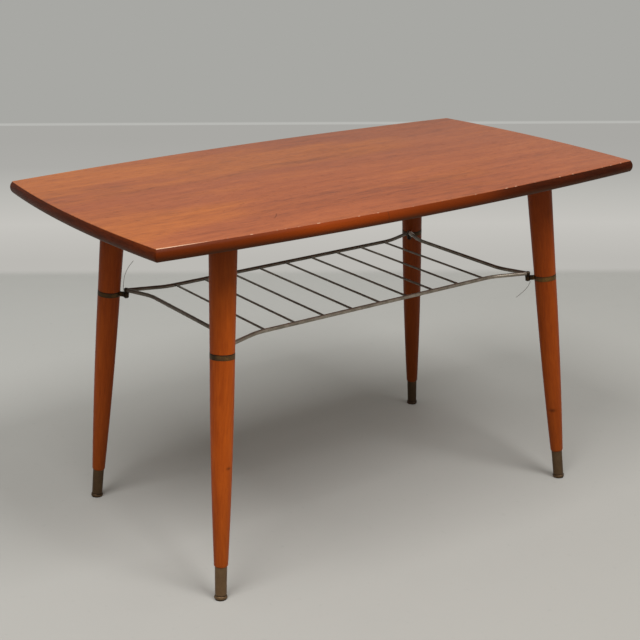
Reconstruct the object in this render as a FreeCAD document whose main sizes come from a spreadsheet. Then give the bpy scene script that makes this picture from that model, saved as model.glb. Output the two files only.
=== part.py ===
import FreeCAD, Part
import math
import os
import Sketcher

# A low table with a wire magazine rack between its four leaning legs, in millimetres.
# The origin lies on the floor under the middle of the top, X runs along the length,
# Y to the rear and Z up. Every piece is one object with a file of its own.

SIZES = {
    # Top: a veneered board with bowed sides and a lipping of solid wood, whose face bows out
    # between the veneer and the underside
    "top_length": 900.0,
    "top_width": 509.0,
    "top_height": 548.0,
    "side_radius": 4110.0,
    "end_radius": 1990.0,
    "core_thickness": 16.4,
    "veneer_thickness": 0.8,
    "lipping_width": 13.0,
    "edge_bow": 3.8,
    # Legs: how far inside the ends and sides of the top each axis meets the floor and the
    # underside, and the turned profile
    "foot_inset_long": 109.5,
    "foot_inset_wide": 54.0,
    "seat_inset_long": 155.5,
    "seat_inset_wide": 94.3,
    "leg_top_diameter": 40.0,
    "leg_band_diameter": 35.4,
    "leg_toe_diameter": 20.6,
    "flank_bulge": 1.3,
    "toe_level": 50.4,
    "toe_rounding": 1.4,
    "leg_top_rounding": 1.0,
    # Ferrules: a drawn cup with a rolled bead at the floor
    "ferrule_top_diameter": 18.0,
    "ferrule_low_diameter": 16.9,
    "ferrule_wall": 1.0,
    "ferrule_base": 2.4,
    "bead_diameter": 19.4,
    "bead_level": 2.6,
    "bead_thickness": 4.4,
    # Bands: a strip laid in a groove of the leg and closed into an eye on the inner side
    "band_level": 363.4,
    "band_tall": 8.0,
    "strip_thickness": 0.9,
    "band_proud": 0.2,
    "eye_reach": 28.3,
    "eye_clearance": 0.7,
    "band_slit": 0.4,
    # Corner pins: headed pins that stand in the eyes and carry the rack
    "pin_diameter": 5.0,
    "pin_head_diameter": 7.0,
    "pin_dome": 1.6,
    "pin_tail": 1.6,
    "pin_chamfer": 0.6,
    # Rack: four rods, whose straight middle lies inside the line of the pins and whose arms
    # bend out to them, and straight bars between the two rails
    "rod_diameter": 6.0,
    "rail_inset": 21.3,
    "rail_arm": 74.9,
    "cross_rod_inset": 18.2,
    "cross_rod_arm": 63.7,
    "bend_radius": 80.0,
    "bar_diameter": 3.4,
    "bar_margin": 2.0,
    # Leg plates: a round flange with a tilted boss, under the top
    "plate_diameter": 74.0,
    "plate_thickness": 2.5,
    "boss_depth": 7.5,
    "screw_circle": 58.0,
    "screw_hole": 4.6,
    # Hanger bolts: studs that join the legs to the plates
    "bolt_diameter": 8.0,
    "bolt_in_leg": 42.0,
    "bolt_in_top": 14.0,
    "bolt_chamfer": 1.0,
    "bolt_room": 4.0,
    # Fits and cuts
    "fit_clearance": 0.1,
    "seat_gap": 0.05,
    "overrun": 20.0,
}

BAR_COUNT = 9
SCREWS_PER_PLATE = 4
CORNERS = {
    "front_left": (-1, -1),
    "front_right": (1, -1),
    "rear_left": (-1, 1),
    "rear_right": (1, 1),
}

doc = FreeCAD.newDocument("magazine_table")
sheet = doc.addObject("Spreadsheet::Sheet", "Sizes")
for row, (name, number) in enumerate(SIZES.items(), start=1):
    sheet.set(f"A{row}", name)
    sheet.set(f"B{row}", str(number))
    sheet.setAlias(f"B{row}", name)
doc.recompute()


def size(name):
    return float(sheet.get(name))


def value(expression):
    result = sheet.evalExpression(expression)
    return float(getattr(result, "Value", result))


# Sizes that follow from the driving ones, as expressions
underside = "(Sizes.top_height - Sizes.core_thickness - 2 * Sizes.veneer_thickness)"
foot_long = "(Sizes.top_length / 2 - Sizes.foot_inset_long)"
foot_wide = "(Sizes.top_width / 2 - Sizes.foot_inset_wide)"
seat_long = "(Sizes.top_length / 2 - Sizes.seat_inset_long)"
seat_wide = "(Sizes.top_width / 2 - Sizes.seat_inset_wide)"
run_long = f"({foot_long} - {seat_long})"
run_wide = f"({foot_wide} - {seat_wide})"
run = f"sqrt({run_long} ^ 2 + {run_wide} ^ 2)"
slant = f"sqrt({run} ^ 2 + {underside} ^ 2)"
leg_top = f"({slant} - Sizes.boss_depth)"
groove_radius = "(Sizes.leg_band_diameter / 2 + Sizes.band_proud - Sizes.strip_thickness)"
eye_bore = "(Sizes.pin_diameter / 2 + Sizes.eye_clearance)"
eye_radius = f"({eye_bore} + Sizes.strip_thickness)"
band_low = "(Sizes.band_level - Sizes.band_tall / 2)"
band_high = "(Sizes.band_level + Sizes.band_tall / 2)"

# Where the pin of a corner stands in plan, and the heights of its seat and of the rods
pin_long = (
    f"({foot_long} - {run_long} * Sizes.band_level / {slant}"
    f" - {run_long} / {run} * Sizes.eye_reach * {underside} / {slant})"
)
pin_wide = (
    f"({foot_wide} - {run_wide} * Sizes.band_level / {slant}"
    f" - {run_wide} / {run} * Sizes.eye_reach * {underside} / {slant})"
)
eye_middle = f"((Sizes.band_level * {underside} - Sizes.eye_reach * {run}) / {slant})"
eye_half_tall = f"(Sizes.band_tall / 2 * {slant} / {underside})"
pin_seat = (
    f"({eye_middle} + {eye_half_tall}"
    f" + Sizes.pin_head_diameter / 2 * {run} / {underside} + Sizes.seat_gap)"
)
rack_level = f"({pin_seat} + Sizes.rod_diameter / 2)"

# The straight middles of the rods: half a length and a distance from the table's middle
rail_straight = f"({pin_long} - Sizes.rail_arm)"
rail_reach = f"({pin_wide} - Sizes.rail_inset)"
cross_rod_straight = f"({pin_wide} - Sizes.cross_rod_arm)"
cross_rod_reach = f"({pin_long} - Sizes.cross_rod_inset)"
bar_spacing = f"({rail_straight} - Sizes.bar_margin) * 2 / {BAR_COUNT - 1}"


def plane_of(body, role):
    for feature in body.Origin.OriginFeatures:
        if feature.Role == role:
            return feature


def new_sketch(body, name, role):
    sketch = body.newObject("Sketcher::SketchObject", name)
    sketch.AttachmentSupport = [(plane_of(body, role), "")]
    sketch.MapMode = "FlatFace"
    return sketch


def hold_point(sketch, edge, end, across, along):
    """Hold one point of a sketch at a place given by two expressions."""
    for kind, expression, axis in (("DistanceX", across, -2), ("DistanceY", along, -1)):
        if expression == "0":
            sketch.addConstraint(Sketcher.Constraint("PointOnObject", edge, end, axis))
            continue
        number = sketch.addConstraint(
            Sketcher.Constraint(kind, -1, 1, edge, end, value(expression))
        )
        sketch.setExpression(f"Constraints[{number}]", expression)


def set_radius(sketch, edge, expression):
    number = sketch.addConstraint(Sketcher.Constraint("Radius", edge, value(expression)))
    sketch.setExpression(f"Constraints[{number}]", expression)


def draw_circle(sketch, across, along, radius):
    middle = FreeCAD.Vector(value(across), value(along), 0)
    circle = Part.Circle(middle, FreeCAD.Vector(0, 0, 1), value(radius))
    edge = sketch.addGeometry(circle)
    hold_point(sketch, edge, 3, across, along)
    set_radius(sketch, edge, radius)


def draw_outline(sketch, corners, arcs=None):
    """Closed outline through corners given as pairs of expressions.

    arcs maps an edge's number to its radius and the side it bulges to: 1 is left of the
    way round and -1 is right of it.
    """
    arcs = arcs or {}
    places = [FreeCAD.Vector(value(across), value(along), 0) for across, along in corners]
    starts = []
    ends = []
    for number, start in enumerate(places):
        end = places[(number + 1) % len(places)]
        if number not in arcs:
            edge = sketch.addGeometry(Part.LineSegment(start, end))
            starts.append((edge, 1))
            ends.append((edge, 2))
            continue
        radius, bulge_side = arcs[number]
        chord = end - start
        left = FreeCAD.Vector(-chord.y, chord.x, 0).normalize()
        depth = value(radius)
        rise = depth - math.sqrt(depth ** 2 - chord.Length ** 2 / 4)
        crown = (start + end) / 2 + left * rise * bulge_side
        first, last = (end, start) if bulge_side > 0 else (start, end)
        edge = sketch.addGeometry(Part.Arc(first, crown, last))
        starts.append((edge, 2 if bulge_side > 0 else 1))
        ends.append((edge, 1 if bulge_side > 0 else 2))
        set_radius(sketch, edge, radius)
    for number, (across, along) in enumerate(corners):
        edge, end = starts[number]
        sketch.addConstraint(Sketcher.Constraint("Coincident", *ends[number - 1], edge, end))
        hold_point(sketch, edge, end, across, along)


def revolve(name, corners, arcs=None, placement=None):
    """A turned piece: a half profile of radius and height, turned about the body's Z axis."""
    body = doc.addObject("PartDesign::Body", name)
    sketch = new_sketch(body, f"{name}_profile", "XZ_Plane")
    draw_outline(sketch, corners, arcs)
    turning = body.newObject("PartDesign::Revolution", f"{name}_turning")
    turning.Profile = sketch
    turning.ReferenceAxis = (sketch, ["V_Axis"])
    turning.Angle = 360
    if placement:
        body.Placement = placement
    return body


def boolean(kind, name, base, tool):
    result = doc.addObject(f"Part::{kind}", name)
    result.Base = base
    result.Tool = tool
    return result


def fuse(name, pieces):
    result = doc.addObject("Part::MultiFuse", name)
    result.Shapes = pieces
    return result


def cylinder(name, radius, height, placement=None):
    piece = doc.addObject("Part::Cylinder", name)
    piece.setExpression("Radius", radius)
    piece.setExpression("Height", height)
    if placement:
        piece.Placement = placement
    return piece


def place_at(piece, across, along, up):
    """Tie a piece's place to three expressions."""
    piece.setExpression("Placement.Base.x", across)
    piece.setExpression("Placement.Base.y", along)
    piece.setExpression("Placement.Base.z", up)


def level_slab(name, low, high):
    """A slab wider than the whole table, between two heights, for level cuts."""
    slab = doc.addObject("Part::Box", name)
    slab.setExpression("Length", "Sizes.top_length")
    slab.setExpression("Width", "Sizes.top_width")
    slab.setExpression("Height", f"{high} - {low}")
    place_at(slab, "-Sizes.top_length / 2", "-Sizes.top_width / 2", low)
    return slab


finished = []


def finish(piece, label):
    piece.Label = label
    finished.append(piece)
    return piece


def raised(placement, distance):
    """The placement moved along its own Z axis."""
    lift = FreeCAD.Placement(FreeCAD.Vector(0, 0, distance), FreeCAD.Rotation())
    return placement.multiply(lift)


def leg_placement(side_long, side_wide):
    """Frame of one leg: origin on the floor, Z up the axis, X towards the table's middle."""
    foot = FreeCAD.Vector(side_long * value(foot_long), side_wide * value(foot_wide), 0)
    seat = FreeCAD.Vector(
        side_long * value(seat_long), side_wide * value(seat_wide), value(underside)
    )
    axis = (seat - foot).normalize()
    sideways = FreeCAD.Vector(0, 0, 1).cross(axis).normalize()
    inward = sideways.cross(axis)
    return FreeCAD.Placement(foot, FreeCAD.Rotation(inward, sideways, axis, "ZXY"))


LEG_FRAMES = {corner: leg_placement(*sides) for corner, sides in CORNERS.items()}


# Top


def bolt_holes(board, name, depth):
    """Holes up into a board for the ends of the four hanger bolts."""
    sketch = new_sketch(board, f"{name}_sketch", "XY_Plane")
    radius = "Sizes.bolt_diameter / 2 + Sizes.bolt_room"
    for side_long, side_wide in CORNERS.values():
        draw_circle(sketch, f"{side_long} * {seat_long}", f"{side_wide} * {seat_wide}", radius)
    pocket(board, name, sketch, depth)


def pocket(board, name, sketch, depth):
    doc.recompute()
    before = board.Shape.Volume
    cut = board.newObject("PartDesign::Pocket", name)
    cut.Profile = sketch
    cut.setExpression("Length", depth)
    cut.Reversed = True
    doc.recompute()
    if board.Shape.Volume >= before:
        raise RuntimeError(f"{name} cuts nothing")


def bowed_board(label, low, thickness, inset):
    """A board with the bowed outline of the top, a given way inside its edge."""
    body = doc.addObject("PartDesign::Body", label)
    sketch = new_sketch(body, f"{label}_outline", "XY_Plane")
    side = f"(Sizes.side_radius - {inset})"
    end = f"(Sizes.end_radius - {inset})"
    side_middle = "(Sizes.side_radius - Sizes.top_width / 2)"
    end_middle = "(Sizes.end_radius - Sizes.top_length / 2)"
    corner = FreeCAD.Vector(
        value(f"Sizes.top_length / 2 - {inset}"), value(f"Sizes.top_width / 2 - {inset}"), 0
    )
    # Each bow: its middle, its radius and the directions of its two ends, the short way round
    bows = (
        ("0", side_middle, side, (-1, -1), (1, -1)),
        (f"-{end_middle}", "0", end, (1, -1), (1, 1)),
        ("0", f"-{side_middle}", side, (1, 1), (-1, 1)),
        (end_middle, "0", end, (-1, 1), (-1, -1)),
    )
    edges = []
    for across, along, radius, first, last in bows:
        middle = FreeCAD.Vector(value(across), value(along), 0)
        start = FreeCAD.Vector(first[0] * corner.x, first[1] * corner.y, 0) - middle
        stop = FreeCAD.Vector(last[0] * corner.x, last[1] * corner.y, 0) - middle
        circle = Part.Circle(middle, FreeCAD.Vector(0, 0, 1), value(radius))
        turn = start.getAngle(stop)
        angle = math.atan2(start.y, start.x)
        edges.append(sketch.addGeometry(Part.ArcOfCircle(circle, angle, angle + turn)))
    for number, edge in enumerate(edges):
        sketch.addConstraint(Sketcher.Constraint("Coincident", edges[number - 1], 2, edge, 1))
    for edge, (across, along, radius, _, _) in zip(edges, bows):
        hold_point(sketch, edge, 3, across, along)
        set_radius(sketch, edge, radius)
    pad = body.newObject("PartDesign::Pad", f"{label}_pad")
    pad.Profile = sketch
    pad.setExpression("Length", thickness)
    body.setExpression("Placement.Base.z", low)
    return finish(body, label)


core_low = f"{underside} + Sizes.veneer_thickness"
core = bowed_board("top_core", core_low, "Sizes.core_thickness", "Sizes.lipping_width")
bolt_depth = "(Sizes.bolt_in_top - Sizes.boss_depth + Sizes.bolt_room)"
bolt_holes(core, "core_bolt_holes", f"{bolt_depth} - Sizes.veneer_thickness")

# The upper veneer runs out over the lipping
veneer_low = "(Sizes.top_height - Sizes.veneer_thickness)"
bowed_board("top_veneer", veneer_low, "Sizes.veneer_thickness", "Sizes.edge_bow")

backing = bowed_board("backing_veneer", underside, "Sizes.veneer_thickness", "Sizes.lipping_width")
bolt_holes(backing, "backing_bolt_holes", "Sizes.veneer_thickness")


def corner_at(inset):
    """Where a long side and an end meet, a given way inside the edge, at plus X and plus Y."""
    side = size("side_radius") - inset
    end = size("end_radius") - inset
    side_middle = FreeCAD.Vector(0, size("top_width") / 2 - size("side_radius"), 0)
    end_middle = FreeCAD.Vector(size("top_length") / 2 - size("end_radius"), 0, 0)
    between = end_middle - side_middle
    along = (side ** 2 - end ** 2 + between.Length ** 2) / (2 * between.Length)
    across = math.sqrt(side ** 2 - along ** 2)
    between.normalize()
    return side_middle + between * along + FreeCAD.Vector(-between.y, between.x, 0) * -across


def lipping(label, role, side, half_reach, radius):
    """One strip of lipping with a bowed face, bent to the outline and mitred at its ends.

    role is the plane of its section, side the way the strip faces, half_reach the distance
    of its edge from the middle of the table and radius that of its bow.
    """
    body = doc.addObject("PartDesign::Body", label)
    section = new_sketch(body, f"{label}_section", role)
    half_tall = f"(({veneer_low} - {underside}) / 2)"
    face_radius = f"({half_tall} ^ 2 + Sizes.edge_bow ^ 2) / (2 * Sizes.edge_bow)"
    back = f"{side} * ({half_reach} - Sizes.lipping_width)"
    arris = f"{side} * ({half_reach} - Sizes.edge_bow)"
    nose = f"{side} * {half_reach}"
    corners = (
        (back, underside),
        (arris, underside),
        (nose, f"{underside} + {half_tall}"),
        (arris, veneer_low),
        (back, veneer_low),
    )
    draw_outline(section, corners, {1: (face_radius, -side), 2: (face_radius, -side)})
    centre = f"{side} * ({half_reach} - {radius})"
    line = Part.LineSegment(
        FreeCAD.Vector(value(centre), value(underside), 0),
        FreeCAD.Vector(value(centre), value("Sizes.top_height"), 0),
    )
    axis = section.addGeometry(line, True)
    hold_point(section, axis, 1, centre, underside)
    hold_point(section, axis, 2, centre, "Sizes.top_height")
    outer = corner_at(0)
    inner = corner_at(size("lipping_width"))
    along_x = role == "YZ_Plane"
    half_length = outer.x if along_x else outer.y
    bend = body.newObject("PartDesign::Revolution", f"{label}_bend")
    bend.Profile = section
    bend.ReferenceAxis = (section, ["Axis0"])
    bend.Midplane = True
    bend.Angle = 2 * math.degrees(math.asin((half_length + size("overrun")) / value(radius)))
    # What lies past the mitre line through the outer and the inner corner comes off
    mitre = (outer - inner).normalize() * size("overrun")
    waste = new_sketch(body, f"{label}_mitres", "XY_Plane")
    for end in (-1, 1):
        flip = FreeCAD.Vector(end, side, 0) if along_x else FreeCAD.Vector(side, end, 0)
        past = FreeCAD.Vector(1, 0, 0) if along_x else FreeCAD.Vector(0, 1, 0)
        past = past * 2 * size("overrun")
        corners = [inner - mitre, outer + mitre, outer + mitre + past, inner - mitre + past]
        draw_outline(waste, [(str(p.x * flip.x), str(p.y * flip.y)) for p in corners])
    pocket(body, f"{label}_mitre_cut", waste, "Sizes.top_height + Sizes.overrun")
    return finish(body, label)


half_width = "Sizes.top_width / 2"
half_length = "Sizes.top_length / 2"
lipping("front_lipping", "YZ_Plane", -1, half_width, "Sizes.side_radius")
lipping("rear_lipping", "YZ_Plane", 1, half_width, "Sizes.side_radius")
lipping("left_lipping", "XZ_Plane", -1, half_length, "Sizes.end_radius")
lipping("right_lipping", "XZ_Plane", 1, half_length, "Sizes.end_radius")


# Legs, ferrules and bands

floor = level_slab("below_floor", "-Sizes.overrun", "0")
under_top = level_slab("below_top", "0", underside)
spigot_radius = "(Sizes.ferrule_low_diameter / 2 - Sizes.ferrule_wall - Sizes.fit_clearance)"
bore_radius = "(Sizes.bolt_diameter / 2 + Sizes.fit_clearance)"


def leg(corner):
    """A turned leg: spigot, swelling flank, groove for the band, plain top with a bolt hole."""
    toe = "Sizes.leg_toe_diameter / 2"
    waist = "Sizes.leg_band_diameter / 2"
    crown = "Sizes.leg_top_diameter / 2"
    bolt_end = f"{leg_top} - Sizes.bolt_in_leg - Sizes.fit_clearance"
    toe_high = "Sizes.toe_level + Sizes.toe_rounding"
    rise = "Sizes.flank_bulge"
    chord = f"(({waist} - {toe}) ^ 2 + ({band_low} - {toe_high}) ^ 2)"
    flank = f"({chord} / 4 + {rise} ^ 2) / (2 * {rise})"
    profile = (
        ("0", "Sizes.ferrule_base + Sizes.fit_clearance"),
        (spigot_radius, "Sizes.ferrule_base + Sizes.fit_clearance"),
        (spigot_radius, "Sizes.toe_level"),
        (f"{toe} - Sizes.toe_rounding", "Sizes.toe_level"),
        (toe, toe_high),
        (waist, band_low),
        (f"{groove_radius} - Sizes.fit_clearance", band_low),
        (f"{groove_radius} - Sizes.fit_clearance", band_high),
        (waist, band_high),
        (crown, f"{leg_top} - Sizes.leg_top_rounding"),
        (f"{crown} - Sizes.leg_top_rounding", leg_top),
        (bore_radius, leg_top),
        (bore_radius, bolt_end),
        ("0", bolt_end),
    )
    arcs = {
        3: ("Sizes.toe_rounding", -1),
        4: (flank, -1),
        9: ("Sizes.leg_top_rounding", -1),
    }
    turned = revolve(f"leg_{corner}", profile, arcs, LEG_FRAMES[corner])
    return finish(turned, f"leg_{corner}")


def ferrule(corner):
    """A drawn cup on the leg's spigot, with a rolled bead, cut level where it stands."""
    top = "Sizes.ferrule_top_diameter / 2"
    low = "Sizes.ferrule_low_diameter / 2"
    wall = "Sizes.ferrule_wall"
    bead = "Sizes.bead_diameter / 2"
    bead_half = "Sizes.bead_thickness / 2"
    bead_high = f"Sizes.bead_level + {bead_half}"
    bead_bow = f"(({bead} - {low}) ^ 2 + ({bead_half}) ^ 2) / (2 * ({bead} - {low}))"
    profile = (
        ("0", f"-{bead_half}"),
        (low, f"-{bead_half}"),
        (low, f"Sizes.bead_level - {bead_half}"),
        (bead, "Sizes.bead_level"),
        (low, bead_high),
        (top, "Sizes.toe_level"),
        (f"{low} - {wall}", "Sizes.toe_level"),
        (f"{low} - {wall}", "Sizes.ferrule_base"),
        ("0", "Sizes.ferrule_base"),
    )
    arcs = {2: (bead_bow, -1), 3: (bead_bow, -1)}
    cup = revolve(f"ferrule_cup_{corner}", profile, arcs, LEG_FRAMES[corner])
    stood = boolean("Cut", f"ferrule_{corner}", cup, floor)
    return finish(stood, f"ferrule_{corner}")


def leg_band(corner):
    """A strip round the leg's groove whose ends close up into a neck and an eye."""
    base = raised(LEG_FRAMES[corner], value(band_low))
    eye_base = base.multiply(
        FreeCAD.Placement(FreeCAD.Vector(size("eye_reach"), 0, 0), FreeCAD.Rotation())
    )
    name = f"band_{corner}"
    ring = cylinder(f"{name}_ring", f"{groove_radius} + Sizes.strip_thickness", "Sizes.band_tall", base)
    eye = cylinder(f"{name}_eye", eye_radius, "Sizes.band_tall", eye_base)
    neck = strip_box(f"{name}_neck", base, "2 * Sizes.strip_thickness + Sizes.band_slit")
    hollow = cylinder(f"{name}_hollow", groove_radius, "Sizes.band_tall", base)
    bore = cylinder(f"{name}_bore", eye_bore, "Sizes.band_tall", eye_base)
    slit = strip_box(f"{name}_slit", base, "Sizes.band_slit")
    outside = fuse(f"{name}_outside", [ring, neck, eye])
    inside = fuse(f"{name}_inside", [hollow, slit, bore])
    return finish(boolean("Cut", name, outside, inside), f"leg_band_{corner}")


def strip_box(name, base, width):
    """A flat bar from the leg's axis to the axis of the eye, centred on the neck."""
    bar = doc.addObject("Part::Box", name)
    bar.setExpression("Length", "Sizes.eye_reach")
    bar.setExpression("Width", width)
    bar.setExpression("Height", "Sizes.band_tall")
    aside = FreeCAD.Vector(0, -value(width) / 2, 0)
    bar.Placement = base.multiply(FreeCAD.Placement(aside, FreeCAD.Rotation()))
    return bar


for corner in CORNERS:
    leg(corner)
    ferrule(corner)
    leg_band(corner)


# Leg plates and hanger bolts

plate_low = f"({underside} - Sizes.plate_thickness)"


def leg_plate(corner):
    """A round flange with a tilted hollow boss that the leg's top bears on."""
    side_long, side_wide = CORNERS[corner]
    name = f"plate_{corner}"
    frame = LEG_FRAMES[corner]
    flange = cylinder(f"{name}_flange", "Sizes.plate_diameter / 2", "Sizes.plate_thickness")
    place_at(flange, f"{side_long} * {seat_long}", f"{side_wide} * {seat_wide}", plate_low)
    long_boss = "Sizes.boss_depth + Sizes.overrun"
    crown = "Sizes.leg_top_diameter / 2"
    boss = cylinder(f"{name}_boss", crown, long_boss, raised(frame, value(leg_top)))
    whole = fuse(f"{name}_whole", [flange, boss])
    trimmed = boolean("Common", f"{name}_trimmed", whole, under_top)
    floor_level = value(f"{leg_top} + Sizes.plate_thickness")
    hollow = cylinder(
        f"{name}_hollow", f"{crown} - Sizes.plate_thickness", long_boss, raised(frame, floor_level)
    )
    below = value(f"{leg_top} - Sizes.overrun")
    bore = cylinder(f"{name}_bore", bore_radius, f"{long_boss} + Sizes.overrun", raised(frame, below))
    holes = []
    for number in range(SCREWS_PER_PLATE):
        angle = math.radians(360 / SCREWS_PER_PLATE * (number + 0.5))
        across = f"{side_long} * {seat_long} + {math.cos(angle)} * Sizes.screw_circle / 2"
        along = f"{side_wide} * {seat_wide} + {math.sin(angle)} * Sizes.screw_circle / 2"
        hole = cylinder(f"{name}_hole_{number}", "Sizes.screw_hole / 2", "Sizes.plate_thickness")
        place_at(hole, across, along, plate_low)
        holes.append(hole)
    waste = fuse(f"{name}_waste", [hollow, bore] + holes)
    return finish(boolean("Cut", name, trimmed, waste), f"leg_plate_{corner}")


def hanger_bolt(corner):
    """A stud half in the leg and half through the plate, chamfered at both ends."""
    thick = "Sizes.bolt_diameter / 2"
    low = f"{leg_top} - Sizes.bolt_in_leg"
    high = f"{leg_top} + Sizes.bolt_in_top"
    bevel = "Sizes.bolt_chamfer"
    profile = (
        ("0", low),
        (f"{thick} - {bevel}", low),
        (thick, f"{low} + {bevel}"),
        (thick, f"{high} - {bevel}"),
        (f"{thick} - {bevel}", high),
        ("0", high),
    )
    stud = revolve(f"hanger_bolt_{corner}", profile, placement=LEG_FRAMES[corner])
    return finish(stud, f"hanger_bolt_{corner}")


for corner in CORNERS:
    leg_plate(corner)
    hanger_bolt(corner)


# Rack


def corner_pin(corner):
    """A pin whose domed head joins two rods and whose shank hangs in the eye."""
    side_long, side_wide = CORNERS[corner]
    head = "Sizes.pin_head_diameter / 2"
    shank = "Sizes.pin_diameter / 2"
    bevel = "Sizes.pin_chamfer"
    seat = "0"
    tail = f"({eye_middle} - {eye_half_tall} - Sizes.pin_tail - {pin_seat})"
    top = "Sizes.rod_diameter"
    dome = f"(({head}) ^ 2 + Sizes.pin_dome ^ 2) / (2 * Sizes.pin_dome)"
    profile = (
        ("0", tail),
        (f"{shank} - {bevel}", tail),
        (shank, f"{tail} + {bevel}"),
        (shank, seat),
        (head, seat),
        (head, f"{top} - Sizes.pin_dome / 2"),
        ("0", f"{top} + Sizes.pin_dome / 2"),
    )
    pin = revolve(f"corner_pin_{corner}", profile, {5: (dome, -1)})
    place_at(pin, f"{side_long} * {pin_long}", f"{side_wide} * {pin_wide}", pin_seat)
    return finish(pin, f"corner_pin_{corner}")


def bend_angle(reach, straight, pin_along, pin_out):
    """Angle through which a rod turns out of its straight run to head for the pin."""
    radius = size("bend_radius")
    middle = FreeCAD.Vector(value(straight), value(reach) + radius, 0)
    toward = FreeCAD.Vector(value(pin_along), value(pin_out), 0) - middle
    tangent = math.sqrt(toward.Length ** 2 - radius ** 2)
    return math.atan2(toward.y, toward.x) - math.atan2(tangent, radius) + math.pi / 2


RAIL = (rail_reach, rail_straight, pin_long, pin_wide)
END_ROD = (cross_rod_reach, cross_rod_straight, pin_wide, pin_long)


def bent_rod(label, turn, run_of_rod, neighbour):
    """A rod along X that bends out towards Y near both ends, turned about Z to its side."""
    reach, straight, pin_along, pin_out = run_of_rod
    bend = bend_angle(*run_of_rod)
    body = doc.addObject("PartDesign::Body", label)
    path = new_sketch(body, f"{label}_path", "XY_Plane")
    radius = size("bend_radius")
    half = value(straight)
    low = value(reach)
    flat = path.addGeometry(
        Part.LineSegment(FreeCAD.Vector(-half, low, 0), FreeCAD.Vector(half, low, 0))
    )
    hold_point(path, flat, 1, f"-{straight}", reach)
    hold_point(path, flat, 2, straight, reach)
    for end in (-1, 1):
        middle = FreeCAD.Vector(end * half, low + radius, 0)
        circle = Part.Circle(middle, FreeCAD.Vector(0, 0, 1), radius)
        down = -math.pi / 2
        first, last = (down, down + bend) if end > 0 else (down - bend, down)
        arc = path.addGeometry(Part.ArcOfCircle(circle, first, last))
        leave = middle + FreeCAD.Vector(end * math.sin(bend), -math.cos(bend), 0) * radius
        far = FreeCAD.Vector(end * value(pin_along), value(pin_out), 0)
        arm = path.addGeometry(Part.LineSegment(leave, far))
        near_end, far_end, flat_end = (1, 2, 2) if end > 0 else (2, 1, 1)
        path.addConstraint(Sketcher.Constraint("Tangent", flat, flat_end, arc, near_end))
        path.addConstraint(Sketcher.Constraint("Tangent", arc, far_end, arm, 1))
        set_radius(path, arc, "Sizes.bend_radius")
        hold_point(path, arm, 2, f"{end} * {pin_along}", pin_out)
    doc.recompute()
    section = body.newObject("Sketcher::SketchObject", f"{label}_section")
    section.AttachmentSupport = [(path, "Edge1")]
    section.MapMode = "NormalToEdge"
    draw_circle(section, "0", "0", "Sizes.rod_diameter / 2")
    pipe = body.newObject("PartDesign::AdditivePipe", f"{label}_sweep")
    pipe.Profile = section
    pipe.Spine = (path, [])
    doc.recompute()
    trim_rod_ends(body, label, bend, bend_angle(*neighbour), run_of_rod)
    body.Placement = FreeCAD.Placement(
        FreeCAD.Vector(0, 0, 0), FreeCAD.Rotation(FreeCAD.Vector(0, 0, 1), turn)
    )
    body.setExpression("Placement.Base.z", rack_level)
    return finish(body, label)


def trim_rod_ends(body, label, bend, neighbour_bend, run_of_rod):
    """Cut a rod's ends to the pins and to the plane it shares with the rod that meets it."""
    _, _, pin_along, pin_out = run_of_rod
    own = FreeCAD.Vector(math.cos(bend), math.sin(bend), 0)
    other = FreeCAD.Vector(math.sin(neighbour_bend), math.cos(neighbour_bend), 0)
    shared = (own + other).normalize() * size("overrun")
    aside = FreeCAD.Vector(shared.y, -shared.x, 0)
    pin = FreeCAD.Vector(value(pin_along), value(pin_out), 0)
    mitres = new_sketch(body, f"{label}_mitres", "XY_Plane")
    seats = new_sketch(body, f"{label}_seats", "XY_Plane")
    for sketch in (mitres, seats):
        sketch.setExpression("AttachmentOffset.Base.z", "-Sizes.overrun")
    corners = [pin + shared, pin - shared, pin - shared + aside, pin + shared + aside]
    for end in (-1, 1):
        draw_outline(mitres, [(str(end * p.x), str(p.y)) for p in corners])
        draw_circle(seats, f"{end} * {pin_along}", pin_out, "Sizes.pin_head_diameter / 2 + Sizes.seat_gap")
    pocket(body, f"{label}_mitre_cut", mitres, "2 * Sizes.overrun")
    pocket(body, f"{label}_seat_cut", seats, "2 * Sizes.overrun")


for corner in CORNERS:
    corner_pin(corner)
rails = [
    bent_rod("front_rail", 180, RAIL, END_ROD),
    bent_rod("rear_rail", 0, RAIL, END_ROD),
]
bent_rod("left_end_rod", 90, END_ROD, RAIL)
bent_rod("right_end_rod", -90, END_ROD, RAIL)

both_rails = fuse("both_rails", rails)
for number in range(BAR_COUNT):
    step = number - (BAR_COUNT - 1) / 2
    bar = cylinder(f"bar_{number + 1}", "Sizes.bar_diameter / 2", f"2 * {rail_reach}")
    bar.Placement.Rotation = FreeCAD.Rotation(FreeCAD.Vector(1, 0, 0), -90)
    place_at(bar, f"{step} * {bar_spacing}", f"-{rail_reach}", rack_level)
    coped = boolean("Cut", f"coped_bar_{number + 1}", bar, both_rails)
    finish(coped, f"cross_bar_{number + 1}")


# Check every object, then write each piece

doc.recompute()
for item in doc.Objects:
    if "Invalid" in item.State or "Error" in item.State:
        raise RuntimeError(f"{item.Name} did not rebuild: {item.State}")
for piece in finished:
    if piece.Shape.isNull() or not piece.Shape.isValid():
        raise RuntimeError(f"{piece.Label} has no valid shape")
os.makedirs("parts", exist_ok=True)
for piece in finished:
    piece.Shape.exportStep(f"parts/{piece.Label}.step")
print(f"{len(finished)} pieces, {sum(len(piece.Shape.Solids) for piece in finished)} solids")
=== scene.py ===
import math
import bmesh
import bpy
from mathutils import Matrix, Vector


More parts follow.
